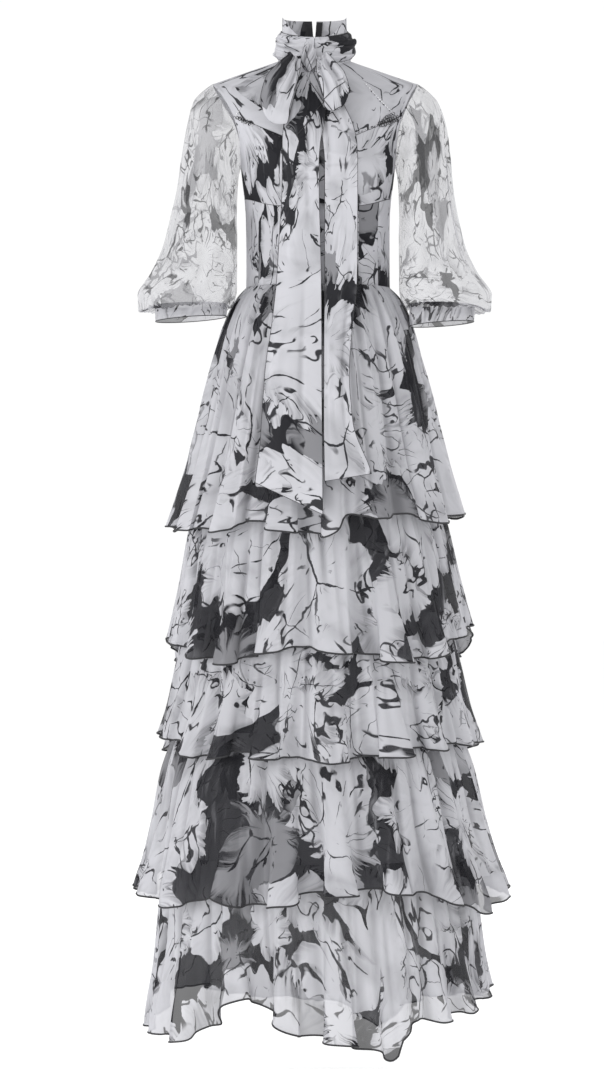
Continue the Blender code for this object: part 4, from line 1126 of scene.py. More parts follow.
def torso_relief(line, turn, face):
    """How far the cloth of the torso stands out at seams, tucks and soft folds."""
    wide = np.abs(turn)
    if face < 0:
        relief = -SEAM_DENT * bell(line, YOKE_LINE, 0.16)
        relief = relief - CUP_SEAM_DENT * bell(line, CUP_LINE, 0.14)
        relief = relief + PUFF * bell(line, 8.35, 0.5) * wave(np.clip(wide, 5, 75) * 2)
        for seam in (INNER_SEAM_TURN, OUTER_SEAM_TURN):
            relief = relief - 0.0008 * bounded((line - CUP_LINE) * 4) * bell(wide, seam, 1.2)
        for side, sign in SIDES:
            for start, end, last, width, depth in TUCKS[side]:
                run = bounded((line - YOKE_LINE) / (last - YOKE_LINE))
                window = np.where(line < YOKE_LINE, 0, (1 - run) ** 0.8)
                window = window * bounded((line - YOKE_LINE) / 0.12)
                middle = (start + (end - start) * run) * sign
                relief = relief + depth * MM * window * bell(turn, middle, width * (1 + run))
        sway = wave(wide * 9 + 40) * bell(line, 11.5, 1.2)
        relief = relief + 0.0006 * sway * bounded((wide - 36) / 20)
    else:
        hang = bounded((line - 3) / 4) * bounded((WAIST_LINE - line) / 3)
        relief = 0.0016 * hang * wave(turn * 7 + 25)
        relief = relief + 0.0012 * hang * wave(turn * 12.5 + 80 + 6 * line)
    return relief * bounded((90 - wide) / 8)


def torso_cloth(name, face, lines, turns, finish, shift):
    """A panel of the bodice as cloth."""
    rows = round((lines[1] - lines[0]) * 9) + 1
    columns = round(abs(turns[1] - turns[0]) * 0.8) + 1
    line, turn = grid(np.linspace(*lines, rows), np.linspace(*turns, columns))
    points = torso(line, turn, face)
    points = points + torso_normals(line, turn, face) * torso_relief(line, turn, face)[..., None]
    cut = flat(np.radians(turn) * 0.125 * -face, points[..., 2], shift)
    return lay_cloth(name, points, cut, finish, (0, 0, points[..., 2].mean()))


class DRESS_OT_bodice(bpy.types.Operator):
    """Yoke, cups, midriff and back"""

    bl_idname = "dress.bodice"
    bl_label = "Bodice"

    def execute(self, context):
        body, yoke = chiffon("body_cloth"), chiffon("yoke_cloth")
        inner, outer, midriff = INNER_SEAM_TURN, OUTER_SEAM_TURN, (CUP_LINE, WAIST_LINE)
        panels = [
            ("yoke_front", -1, (0, YOKE_LINE), (-90, 90), yoke, (0.99, 1.27)),
            ("midriff_centre", -1, midriff, (-inner, inner), body, (1.73, 0.20)),
        ]
        for side, sign in SIDES:
            shift = 0.37 * sign
            for name, face, lines, start, end, place in (
                ("cup", -1, (YOKE_LINE, CUP_LINE), 0.0, 90.0, (2.10 + shift, 0.70)),
                ("midriff_front", -1, midriff, inner, outer, (3.3 + shift, 0.10)),
                ("midriff_side", -1, midriff, outer, 90.0, (4.1 + shift, 0.33)),
                ("back", 1, (0, WAIST_LINE), 0.0, 90.0, (5.2 + shift, 0.90)),
            ):
                turns = sorted((start * sign, end * sign))
                panels.append((f"{name}_{side}", face, lines, turns, body, place))
        for name, *panel in panels:
            piece = fit(torso_cloth(name, *panel), [name])
        return {"FINISHED"}


# Collar and tie

# Rows of creases are: start, end, from, to, width, height. See creased.
BAND_CREASES = {
    "left": (
        (0.22, 0.36, 0, 0.6, 0.045, 2.2), (0.36, 0.5, 0.02, 0.5, 0.035, -2.6),
        (0.5, 0.62, 0, 0.75, 0.05, 2), (0.62, 0.86, 0.05, 0.7, 0.04, -2.2),
        (0.76, 0.92, 0, 0.45, 0.04, 1.8), (0.3, 0.18, 0.45, 1.1, 0.06, 1.6),
        (0.52, 0.7, 0.45, 1.1, 0.05, -1.8),
    ),
    "right": (
        (0.9, 0.6, 0, 0.55, 0.05, 2.6), (0.74, 0.44, 0, 0.5, 0.04, -2.6),
        (0.58, 0.3, 0.02, 0.6, 0.045, 2.2), (0.4, 0.16, 0.04, 0.6, 0.04, -2),
        (0.24, 0.12, 0, 0.4, 0.04, 1.8), (0.7, 0.78, 0.42, 1.1, 0.05, -1.8),
        (0.36, 0.5, 0.48, 1.1, 0.055, 1.8),
    ),
}
BAND_BUMPS = {
    "left": (
        (-84, 0.74, 16, 0.12, 3.2), (-96, 0.36, 20, 0.14, -2),
    ),
    "right": (
        (88, 0.58, 13, 0.15, 4.8), (70, 0.2, 18, 0.12, -1.6),
    ),
}
# A bump's turn, share over the band, width in degrees, width in share, and height


def collar_cloth(finish):
    """The stand collar, with the soft dents of a double layer."""
    turn = np.linspace(-COLLAR_END_TURN, COLLAR_END_TURN, 221)
    share, turn = grid(np.linspace(0, 1, 25), turn)
    dents = 0.0007 * wave(turn * 5 + 60 * share) * np.sin(np.pi * share)
    dents = dents * bounded((175 - np.abs(turn)) / 20)
    points = raised(collar(share, turn), dents, (NECK_LEAN, 0, 0.03))
    cut = flat(np.radians(turn) * 0.056, points[..., 2], (7.4, 0.5))
    return lay_cloth("collar", points, cut, finish, (NECK_LEAN, 0, 0.03))


def band_cloth(name, sign, finish):
    """One length of the band round the collar, with folds that run in to the knot."""
    turn = np.linspace(TIE_BAND_MEETS, TIE_BAND_END, 190) * sign
    share, turn = grid(np.linspace(0, 1, 73), turn)
    far = np.abs(turn) / TIE_BAND_END
    window = np.sin(np.pi * share)
    slant = 0.16 * np.sin(4.2 * far + 1.2 * sign) * window
    points = tie_band(share, turn)
    offset = (tie_band(share + slant, turn) - points)[..., :2]
    out = np.linalg.norm(offset, axis=-1) * np.sign((offset * points[..., :2]).sum(axis=-1))
    relief = 0.8 * out + creased(BAND_CREASES[name], far, share)
    for place, height, run, rise, depth in BAND_BUMPS[name]:
        relief = relief + depth * MM * bell(turn, place, run) * bell(share, height, rise)
    relief = relief * np.sqrt(bounded(window))
    points = raised(points, relief, (NECK_LEAN, 0, 0.02))
    cut = flat(np.radians(turn) * 0.060, share * 0.09, (8.3, 0.3 + 0.4 * sign))
    painted_fold_shade = painted_shade_in_folds(relief, (7, 9), 0.0022)
    piece = lay_cloth(f"tie_band_{name}", points, cut, finish, (NECK_LEAN, 0, 0.02), painted_fold_shade)
    return piece, [points[0], points[-1]]


LOOP_CREASES = {
    "left": (
        (-0.55, -0.75, 0, 2.9, 0.14, 3), (-0.1, -0.2, 0, 3.6, 0.16, -3.4),
        (0.35, 0.3, 0, 3.2, 0.15, 3), (0.7, 0.62, 0, 2.4, 0.12, -2.4),
        (0.05, 0.25, 3.9, 7, 0.18, 2.6), (-0.5, -0.3, 4.2, 7, 0.16, -2.2),
    ),
    "right": (
        (-0.6, -0.5, 0, 3, 0.15, -2.8), (-0.15, 0, 0, 3.4, 0.15, 3),
        (0.3, 0.45, 0, 2.6, 0.14, -2.6), (0.68, 0.8, 0, 3.2, 0.14, 2.4),
        (0.1, -0.1, 3.9, 7, 0.18, -2.4), (0.55, 0.45, 4.2, 7, 0.16, 2.2),
    ),
}
LOOP_ROUND = 0.010
LOOP_SHIFTS = {"left": (9.1, 0.2), "right": (9.9, 0.8)}


def loop_cloth(name, finish):
    """A loop of the bow as a soft strip that is gathered at the knot."""
    along, across = grid(np.linspace(0, 7, 141), np.linspace(-1, 1, 49))
    crown = LOOP_ROUND * (1 - across**2) * bell(along, 3.9, 1.3)
    down = np.array((LOOP_ACROSS[name][2], 0.0, -LOOP_ACROSS[name][0]))
    relief = 1.3 * creased(LOOP_CREASES[name], along, across)
    relief = relief + 0.0012 * np.sin(across * 9 + along) * bounded(1 - along / 1.6)
    points = raised_forward(loop(name, along, across) + down * crown[..., None], relief)
    cut = flat(across * 0.026, along * 0.026, LOOP_SHIFTS[name])
    painted_fold_shade = painted_shade_in_folds(relief, (9, 6), 0.0022)
    piece = lay_cloth(f"tie_loop_{name}", points, cut, finish, painted_fold_shade=painted_fold_shade)
    return piece, [points[:, 0], points[:, -1]]


def knot_cloth(finish):
    """The knot: the band's own cloth, pulled through itself in long folds."""
    height = np.linspace(0.02, np.pi - 0.02, 81)
    height, turn = grid(height, np.linspace(np.pi, 3 * np.pi, 121))
    wrap = turn + 1.1 * (height - np.pi / 2)
    folds = sum(
        size * np.sin(wrap * count + start)
        for size, count, start in ((0.150, 4, 0.6), (0.090, 7, 1.2), (0.050, 13, 2))
    )
    wide = np.sin(height) * (1 + folds * np.sin(height))
    unit = places(np.sin(turn) * wide, -np.cos(turn) * wide, np.cos(height))
    points = np.array(KNOT_CENTRE) + np.array(KNOT_HALF) * unit
    cut = flat(turn * 0.014, height * 0.022, (10.94, 0.61))
    painted_fold_shade = painted_shade_in_folds(folds, (5, 8), 0.10)
    return lay_cloth("tie_knot", points, cut, finish, KNOT_CENTRE, painted_fold_shade, ring=True)


TAIL_CREASES = {
    "left": (
        (-198, 6, 2.8, 1.2), (-207, -4, 2.2, -1), (-214, 3, 2.6, 1.2), (-262, 30, 5, 1.2),
        (-330, -20, 6, 1), (-470, 30, 8, 1.4), (-590, -30, 8, 1.2),
    ),
    "right": (
        (-170, -10, 3, 1.2), (-186, 4, 2.6, -1), (-205, 12, 4, 1.2), (-300, -20, 6, 1),
        (-430, 20, 7, 1.2), (-560, -24, 8, 1.2),
    ),
}
# Height, slope across the tail, width, and the crease's own height, all in millimetres
TAIL_LONG_CREASES = {
    "left": (
        (0.15, 0.22, 0, 0.3, 0.06, 2.2), (0.62, 0.7, 0.02, 0.4, 0.07, -2),
        (0.85, 0.8, 0, 0.26, 0.06, 1.8), (0.6, 0.66, 0.45, 1, 0.06, -2.4),
        (0.16, 0.12, 0.5, 1, 0.07, 2),
    ),
    "right": (
        (0.2, 0.12, 0, 0.32, 0.07, -2), (0.72, 0.8, 0, 0.36, 0.07, 2),
        (0.75, 0.7, 0.4, 1, 0.08, -2.6), (0.2, 0.25, 0.55, 1, 0.07, 2),
    ),
}
TAIL_PRINTS = {"left": (0.075, (11.3, 0.2)), "right": (0.066, (12.2, 0.9))}


def tail_cloth(name, finish):
    """One long tail of the tie."""
    share, across = grid(np.linspace(0, 1, 301), np.linspace(0, 1, 41))
    points = tail(name, share, across)
    relief = creased(TAIL_LONG_CREASES[name], share, across)
    z = points[..., 2]
    for height, slope, width, depth in np.array(TAIL_CREASES[name]) * MM:
        relief = relief + depth * bell(z, height + slope * (across - 0.5), width)
    relief = relief + 0.0016 * np.sin(z * 55 + across * 2) * bounded(share * 3) * (across - 0.5)
    points = raised_forward(points, relief)
    width, shift = TAIL_PRINTS[name]
    cut = flat(across * width, z, shift)
    painted_fold_shade = painted_shade_in_folds(relief, (7, 6), 0.0024)
    piece = lay_cloth(f"tie_tail_{name}", points, cut, finish, painted_fold_shade=painted_fold_shade)
    return piece, [points[:, 0], points[-1], points[:, -1]]


# X and height of the tie's dark edges where its ends cross, as seen from the front
CROSSING_EDGES = (
    ((-12, -48), (-2, -64), (10, -83), (23, -98), (33, -114)),
    ((43, -52), (26, -63), (10, -79), (-8, -101), (-24, -125), (-36, -139)),
    ((12, -104), (32, -93), (47, -86)),
)


def split_path(path, jump=0.003):
    """Cuts a path where it leaps from one layer of cloth to another."""
    parts = [[path[0]]]
    for last, point in zip(path, path[1:]):
        if abs(point.y - last.y) > jump:
            parts.append([])
        parts[-1].append(point)
    return [part for part in parts if len(part) > 3]


class DRESS_OT_tie(bpy.types.Operator):
    """Stand collar, the band round it, the bow and its two tails"""

    bl_idname = "dress.tie"
    bl_label = "Collar and tie"

    def execute(self, context):
        finish, edge = chiffon("tie_cloth"), context.scene.dress_cloth.tie_edge
        piece = fit(collar_cloth(finish), ["collar"])
        made = []
        for side, sign in SIDES:
            made.append((f"tie_band_{side}", *band_cloth(side, sign, finish), "folded", "collar"))
        for side, _ in SIDES:
            made.append((f"tie_loop_{side}", *loop_cloth(side, finish), "gathered", "tie_knot"))
        for side, _ in SIDES:
            made.append((f"tie_tail_{side}", *tail_cloth(side, finish), "hung", "tie_knot"))
        for node_name, piece, edges, held, carrier in made:
            fit(piece, [node_name])
            hem = fit(rolled_edge(node_name + "_edge", edges, edge))
        names = [f"{kind}_{side}" for kind in ("tie_loop", "tie_tail") for side, _ in SIDES]
        surfaces = surfaces_of(names)
        paths = []
        for corners in CROSSING_EDGES:
            paths += split_path(trim_path(corners, surfaces, 0.0004))
        fit(rolled_edge("tie_crossing_edge", paths, edge * 1.5))
        piece = fit(knot_cloth(finish), ["tie_knot"])
        return {"FINISHED"}


# Sleeves and cuffs

SLEEVE_CREASES = {
    "left": (
        (22, 12, 0.6, 8.5, 5, 4), (48, 40, 1, 7.5, 6, -3.8), (66, 74, 0.4, 8.8, 5, 3.6),
        (88, 98, 1.6, 9, 6, -3.6), (112, 108, 2.5, 9.2, 5, 3.4), (-24, -14, 0.8, 8.2, 6, 3.6),
        (-52, -60, 0.6, 8, 6, -3.6), (-84, -76, 1.2, 9, 6, 3.4), (34, 30, 4, 9.4, 4, 3),
        (-112, -118, 2, 9, 6, -3.2),
    ),
    "right": (
        (14, 24, 0.5, 8.6, 5, -3.8), (36, 30, 1.2, 8, 5, 4), (60, 66, 0.8, 8.6, 6, -3.6),
        (80, 70, 2, 9.2, 5, 3.6), (104, 112, 1.4, 9, 6, -3.4), (-18, -30, 0.6, 8.4, 6, 3.6),
        (-48, -42, 1.4, 8.8, 5, -3.4), (-74, -86, 0.8, 8.6, 6, 3.6), (48, 52, 4.5, 9.5, 4, 3),
        (-106, -100, 2.2, 9, 6, 3),
    ),
}
SLEEVE_PRINTS = {"left": (5, (13.2, 0.3)), "right": (9, (14.4, 0.75))}  # seed of ripples, and shift


def sleeve_cloth(name, sign, finish):
    """A full sleeve with its long folds, small gathers at the cuff and at the shoulder."""
    runs = (np.linspace(0, 1, 16)[:-1], np.linspace(1, 8, 70)[:-1], np.linspace(8, 10, 34))
    ring, turn = grid(np.concatenate(runs), np.linspace(0, 360, 217))
    points = sleeve(name, ring, turn)
    angle = np.radians(turn)
    seed, shift = SLEEVE_PRINTS[name]
    relief = creased(SLEEVE_CREASES[name], ring, (turn + 180) % 360 - 180)
    relief = relief + 0.0028 * ripples(angle, (31, 44, 57), seed) * bell(ring, 9.3, 0.75)
    relief = relief + 0.0012 * ripples(angle, (28, 39), seed + 1) * bell(ring, 0.35, 0.5)
    relief = relief * bounded(ring / 0.3) * bounded((LAST_RING - ring) / 0.25)
    points = raised(points, relief, points[:, :-1].mean(axis=1, keepdims=True), ring=True)
    sag = 0.5 + 0.5 * ripples(angle, (3, 5, 8, 13), seed + 2)
    points[..., 2] -= 0.010 * sag * bell(ring, 9.25, 0.45)
    points = mirrored(points, sign)
    cut = flat(angle * 0.075, -ring * 0.040, shift)
    centre, painted_fold_shade = points.reshape(-1, 3).mean(axis=0), painted_shade_in_folds(relief, (4, 7), 0.0050)
    return lay_cloth(f"sleeve_{name}", points, cut, finish, centre, painted_fold_shade, ring=True)


def cuff_cloth(name, sign, finish):
    """A narrow cuff."""
    share, turn = grid(np.linspace(0, 1, 15), np.linspace(0, 360, 145))
    points = cuff(name, share, turn)
    relief = 0.0008 * np.sin(np.pi * share) + 0.0006 * wave(turn * 11) * (1 - share)
    points = raised(points, relief, points[:, :-1].mean(axis=1, keepdims=True), ring=True)
    points = mirrored(points, sign)
    cut = flat(np.radians(turn) * 0.07, share * 0.027, (15.6, 0.5 * sign))
    centre = points.reshape(-1, 3).mean(axis=0)
    return lay_cloth(f"cuff_{name}", points, cut, finish, centre, ring=True), [points[-1]]


class DRESS_OT_sleeves(bpy.types.Operator):
    """Both full sleeves and their cuffs"""

    bl_idname = "dress.sleeves"
    bl_label = "Sleeves"

    def execute(self, context):
        sheer, double = chiffon("sleeve_cloth"), chiffon("cuff_cloth")
        for side, sign in SIDES:
            piece = fit(sleeve_cloth(side, sign, sheer), [f"sleeve_{side}"])
            piece, edges = cuff_cloth(side, sign, double)
            fit(piece, [f"cuff_{side}"])
            hem = fit(rolled_edge(f"cuff_{side}_edge", edges, 0.0007))
        return {"FINISHED"}


# The skirt

# Degrees round the skirt, from and to a share of the flounce's length, width in degrees, height
TIER_CREASES = (
    (-78, -80, 0.02, 0.95, 1.8, 3.4), (-63, -60, 0, 0.8, 1.4, -3),
    (-50, -53, 0.05, 1.3, 1.9, 4.2), (-38, -36, 0, 0.7, 1.3, 2.8),
    (-27, -30, 0.1, 1.3, 1.6, -3.6), (-17, -15, 0, 0.85, 1.3, 3), (-6, -8, 0.04, 1.3, 1.7, 3.8),
    (4, 7, 0, 0.75, 1.2, -2.8), (15, 13, 0.08, 1.3, 1.8, 3.6), (25, 28, 0, 0.65, 1.3, 3),
    (36, 34, 0.02, 1.3, 1.6, -3.6), (47, 50, 0, 0.9, 1.4, 3.4), (60, 58, 0.06, 1.3, 1.9, 4),
    (73, 76, 0, 0.8, 1.5, -3), (-70, -74, 0, 1.3, 0.8, -2.2), (-57, -56, 0.1, 1.3, 0.7, 2),
    (-45, -44, 0, 1.3, 0.9, -2.4), (-33, -34, 0.2, 1.3, 0.7, 1.8), (-22, -20, 0, 1.3, 0.8, -2.4),
    (-11, -12, 0, 1.3, 0.7, 2), (0, -1, 0.12, 1.3, 0.9, -2.4), (9, 10, 0, 1.3, 0.7, 2),
    (20, 22, 0, 1.3, 0.8, -2.2), (31, 30, 0.15, 1.3, 0.7, 2), (42, 44, 0, 1.3, 0.9, -2.4),
    (54, 52, 0.05, 1.3, 0.7, 2), (67, 66, 0, 1.3, 0.8, -2.2), (79, 82, 0.1, 1.3, 0.9, 2.2),
)
TIER_LOOKS = {  # finish, degrees that its creases are turned by, and shift of its print
    "tier_1": ("flounce_cloth", 0, (16.9, 0.2)),
    "tier_2": ("flounce_cloth", 4.0, (18.7, 0.6)),
    "tier_3": ("flounce_cloth", -5.5, (20.9, 0.1)),
    "tier_4": ("low_flounce_cloth", 7.5, (23.4, 0.8)),
    "tier_5": ("last_flounce_cloth", -2.5, (26.2, 0.4)),
}


def flounce(name, share, phase, settings):
    """Points of a flounce: the solid's waves, gathers at its seam, and a hem that rolls."""
    spec = FLOUNCES[name]
    waves = spec.waves
    width = Sections("height half_width", spec.width)
    angle = wave_place(phase, waves)
    gain = wave_gain(angle, waves)
    top = width.rows[-1, 0]
    aside = np.abs(np.sin(angle)) ** 8
    stand = spec.reach * gain * np.sin(phase) * share**WAVE_POWER * (1 - 0.5 * aside)
    seed = waves + len(spec.drops)
    flutter = ripples(angle, (41, 58, 77), seed) * share**2.5
    z = top + (hem_height(spec, angle) - top) * share
    z = z - HEM_LIFT_AT_CREST * np.sin(phase) * share**2 * (1 - aside)
    z = z + 0.0014 * flutter * (1 - aside)
    below = (top - z) / 0.020
    gathers = ripples(angle, (70, 97, 131), seed + 1) * below * np.exp(1 - below) * bounded(below)
    long_gathers = ripples(angle, (37, 53), seed + 2) * below / 2.5 * np.exp(1 - below / 2.5)
    degrees = (np.degrees(angle) + 180) % 360 - 180
    # Behind, the creases of the front run on as in a mirror
    mirror = np.where(degrees > 0, degrees - 180, degrees + 180)
    placed = np.where(np.abs(degrees) > 90, mirror, degrees)
    creases = creased(TIER_CREASES, share, placed + TIER_LOOKS[name][1])
    creases = creases * bounded((90 - np.abs(placed)) / 12) * settings.fold
    relief = settings.gather_depth * (gathers + 1.4 * long_gathers) + creases
    relief = relief + 0.0018 * flutter - 0.0035 * share**2
    uneven = 0.50 + 0.50 * np.sin(5 * angle + waves) * np.sin(2 * angle + 1)
    uneven = uneven * (1 - 0.7 * aside)
    roll = np.sin(2 * phase + 0.5 * np.sin(3 * angle)) * share**3
    roll = settings.hem_roll * uneven * gain * roll
    half = width.at("half_width", z) + stand + relief
    x, y = skirt_ring(half, z, angle - roll / np.maximum(half, 0.1))
    return places(x + spec.aside * share**2, y, z), angle, relief + 0.7 * stand


def flounce_cloth(name, part, start, end, settings):
    """One part of a flounce, and the line of its hem."""
    spec = FLOUNCES[name]
    columns = round((end - start) / math.pi * 360) + 1
    phases = np.linspace(phase_at(start, spec.waves), phase_at(end, spec.waves), columns)
    down = np.concatenate([np.linspace(0, 0.16, 12)[:-1], np.linspace(0.16, 1, 49)])
    share, phase = grid(down, phases)
    points, angle, relief = flounce(name, share, phase, settings)
    z = points[..., 2]
    finish, _, shift = TIER_LOOKS[name]
    cut = flat(angle * Sections("height half_width", spec.width).rows[:, 1].mean(), z, shift)
    centre, painted_fold_shade = (0, 0, z.mean()), painted_shade_in_folds(relief, (5, 9), 0.0055)
    piece = lay_cloth(f"{name}_{part}", points, cut, chiffon(finish), centre, painted_fold_shade)
    return piece, [points[-1]]


QUARTER = math.pi / 2
SKIRT_HALVES = {"front": (-QUARTER, QUARTER), "back": (QUARTER, 3 * QUARTER)}
SKIRT_ZIPPED = {
    "front": (-QUARTER, QUARTER),
    "back_right": (QUARTER, 2 * QUARTER),
    "back_left": (2 * QUARTER, 3 * QUARTER),
}


class DRESS_OT_skirt(bpy.types.Operator):
    """The skirt and its five flounces, each with a black rolled hem"""

    bl_idname = "dress.skirt"
    bl_label = "Skirt"

    def execute(self, context):
        settings = context.scene.dress_cloth
        for part, (start, end) in SKIRT_ZIPPED.items():
            columns = round((end - start) * 40) + 1
            z, angle = grid(np.linspace(WAIST, BASE_BOTTOM, 90), np.linspace(start, end, columns))
            points = places(*skirt_ring(BASE_SKIRT.at("half_width", z), z, angle), z)
            cut = flat(angle * 0.2, z, (29.5, 0.2))
            finish = chiffon("skirt_cloth")
            piece = lay_cloth(f"base_skirt_{part}", points, cut, finish, (0, 0, -0.85))
            fit(piece, [f"base_skirt_{part}"])
            ["midriff_centre"] if part == "front" else [part]
        for name in FLOUNCES:
            for part, ends in (SKIRT_ZIPPED if name == "tier_1" else SKIRT_HALVES).items():
                piece, edges = flounce_cloth(name, part, *ends, settings)
                fit(piece, [f"{name}_{part}"])
                hem = rolled_edge(f"{name}_{part}_hem", edges, settings.hem_radius)
                fit(hem)
                carriers = ("back_left", "back_right") if part == "back" else (part,)
        return {"FINISHED"}


# The zip

TAPE_WIDTH = 0.0100
TAPE_SET_BACK = 0.0008
TAPE_UNDER_CLOTH = 0.0010
TAPE_BENDS = ((WAIST, 0.018, 0.0022), (0.008, 0.020, 0.0010))
WALL = 0.0012
DOUBLE_WALL = 0.0016
ZIP_TOP = 0.075
ZIP_BOTTOM = -0.500
NECK_BEND_RADIUS = 0.056


def back_line(z):
    """The depth of the centre back at a height, from the collar down to the base skirt."""
    skirt_depth = BASE_SKIRT.at("half_width", z) * BACK_FLATNESS.at("share", z)
    depth = np.where(z > NECK_BACK, COLLAR.at("back", z), BODICE.at("back", z))
    return np.where(z < WAIST, skirt_depth, depth)


def tape_cloth(name, sign, finish):
    """One tape of the zip, and the line that its teeth follow."""
    z, across = grid(np.linspace(ZIP_TOP, ZIP_BOTTOM, 240), np.linspace(0, 1, 7))
    inset = np.where(z > 0.010, DOUBLE_WALL, WALL) + TAPE_UNDER_CLOTH
    for place, run, depth in TAPE_BENDS:
        inset = inset + depth * bell(z, place, run)
    x = TAPE_SET_BACK + opening_at(z) + TAPE_WIDTH * across
    bend = 1 - np.sqrt(1 - (x / NECK_BEND_RADIUS) ** 2)
    points = lean(places(sign * x, back_line(z) * (1 - bend) - inset, z))
    cut = flat(across * TAPE_WIDTH, z, 0)
    return lay_cloth(f"zip_tape_{name}", points, cut, finish), points[:, 0]


class DRESS_OT_zip(bpy.types.Operator):
    """The zip behind the neck: tapes, teeth, slider and pull tab"""

    bl_idname = "dress.zip"
    bl_label = "Zip"

    def execute(self, context):
        inputs = {"Spacing": 0.0016, "Radius": 0.00062, "Length": 1.0, "Unevenness": 0.0, "Seed": 1}
        inputs["Roundness"] = 1
        for side, sign in SIDES:
            piece, edge = tape_cloth(side, sign, thread("black_tape"))
            fit(piece, [f"zip_tape_{side}"])
            black = thread("black_thread")
            teeth = along_paths(f"zip_teeth_{side}", [edge], "beads_on_a_path", inputs, black)
            fit(teeth)
        metal = finished("black_metal", dark_metal)
        for name in ("zip_slider", "zip_pull"):
            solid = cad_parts[name]
            solid.data.materials.clear()
            solid.data.materials.append(metal)
        return {"FINISHED"}


# The openwork trim along the yoke, as corners of paths seen from the front: x and height

BEADS_LEFT = ((-128, -86), (-134, -98), (-124, -106), (-106, -114))
BEADS_RIGHT = ((78, -46), (98, -70), (122, -94))
FLECKS_LEFT = ((-104, -113), (-56, -140), (-20, -152))
FLECKS_RIGHT = ((120, -104), (95, -114), (68, -128), (30, -146))
LOOPS_LEFT = (
    ((-131, -100), (-107, -111)),
)
LOOPS_RIGHT = (
    ((128, -98), (113, -105), (98, -112)),
    ((127, -104), (112, -111), (100, -116)),
    ((122, -94), (110, -101), (104, -108)),
)


def surfaces_of(names):
    """What trims are laid on: the cloth of the named pieces."""
    graph = bpy.context.evaluated_depsgraph_get()
    return [BVHTree.FromObject(bpy.data.objects[name + "_cloth"], graph) for name in names]


def trim_path(corners, surfaces, lift, step_length=0.0012):
    """A path over the front of the dress through places given as seen from the front."""
    path = []
    corners = [(x * MM, z * MM) for x, z in corners]
    for (x0, z0), (x1, z1) in zip(corners, corners[1:]):
        count = max(2, round(math.hypot(x1 - x0, z1 - z0) / step_length))
        for share in (i / count for i in range(count)):
            start = Vector((x0 + (x1 - x0) * share, -1.0, z0 + (z1 - z0) * share))
            hits = [tree.ray_cast(start, Vector((0, 1, 0)), 1.0) for tree in surfaces]
            hits = [hit for hit in hits if hit[0] is not None]
            if hits:
                place, normal, *_ = min(hits, key=lambda hit: hit[3])
                path.append(place + (normal if normal.y < 0 else -normal) * lift)
    return path


def seam_path(line, turns, lift):
    """A line round the torso, just outside its cloth."""
    turn = np.linspace(*turns, 160)
    line = np.full_like(turn, line)
    stand = torso_relief(line, turn, -1) + lift
    return torso(line, turn, -1) + torso_normals(line, turn, -1) * stand[..., None]


class DRESS_OT_trim(bpy.types.Operator):
    """Small white beads, openwork loops and dark flecks of thread along the yoke's seam"""

    bl_idname = "dress.trim"
    bl_label = "Trim"

    def execute(self, context):
        settings = context.scene.dress_cloth
        surfaces = surfaces_of(("yoke_front", "cup_left", "cup_right"))
        black, white = thread("black_thread"), thread("white_thread")
        beads = {"Spacing": settings.bead_spacing, "Radius": settings.bead_radius, "Length": 1.1,
                 "Unevenness": 0.25, "Seed": 4, "Roundness": 2}
        flecks = {"Spacing": 0.0066, "Radius": 0.0007, "Length": 2.4, "Unevenness": 0.6, "Seed": 8,
                  "Roundness": 1}
        loops = {"Spacing": 0.0042, "Radius": 0.0026, "Thread": 0.0006, "Unevenness": 0.35,
                 "Seed": 5}
        for side, bead_row, fleck_row, loop_rows in (
            ("left", BEADS_LEFT, FLECKS_LEFT, LOOPS_LEFT),
            ("right", BEADS_RIGHT, FLECKS_RIGHT, LOOPS_RIGHT),
        ):
            path = trim_path(bead_row, surfaces, 0.0006)
            below = [point + Vector((0, 0, -0.0017)) for point in path]
            seam = trim_path(fleck_row, surfaces, 0.0004)
            openwork = [trim_path(row, surfaces, 0.0012) for row in loop_rows]
            for stem, paths, tree, inputs, finish in (
                ("beads", [path], "beads_on_a_path", beads, white),
                ("flecks", [below, seam], "beads_on_a_path", flecks, black),
                ("loops", openwork, "loops_on_a_path", loops, black),
            ):
                fit(along_paths(f"yoke_{stem}_{side}", paths, tree, inputs, finish))
        seams = [seam_path(YOKE_LINE, (-86, 86), 0.0004), seam_path(CUP_LINE, (-80, 80), 0.0004)]
        fit(rolled_edge("seam_thread", seams, 0.00038))
        return {"FINISHED"}


# The studio

LAMPS = (  # place, size, and share of the lamps' power
    ("front_lamp", (-3.6, -3.2, -0.7), 2.6, 1.0),
    ("side_lamp", (3.8, -1.6, -0.9), 2.0, 0.22),
    ("back_lamp", (1.5, 3.8, 0.6), 2.5, 0.6),
)
LAMPS_AIM = (0, 0, -0.8)


def pale_paper(tree, shader):
    """The studio's floor."""
    tone = noise(tree, object_place(tree), 0.8, 1)
    lead(tree, mixed(tree, tone, (0.98, 0.98, 0.98), (1.0, 1.0, 1.0)), shader, "Base Color")
    shader.inputs["Roughness"].default_value = 0.9
    shader.inputs["Specular IOR Level"].default_value = 0.0


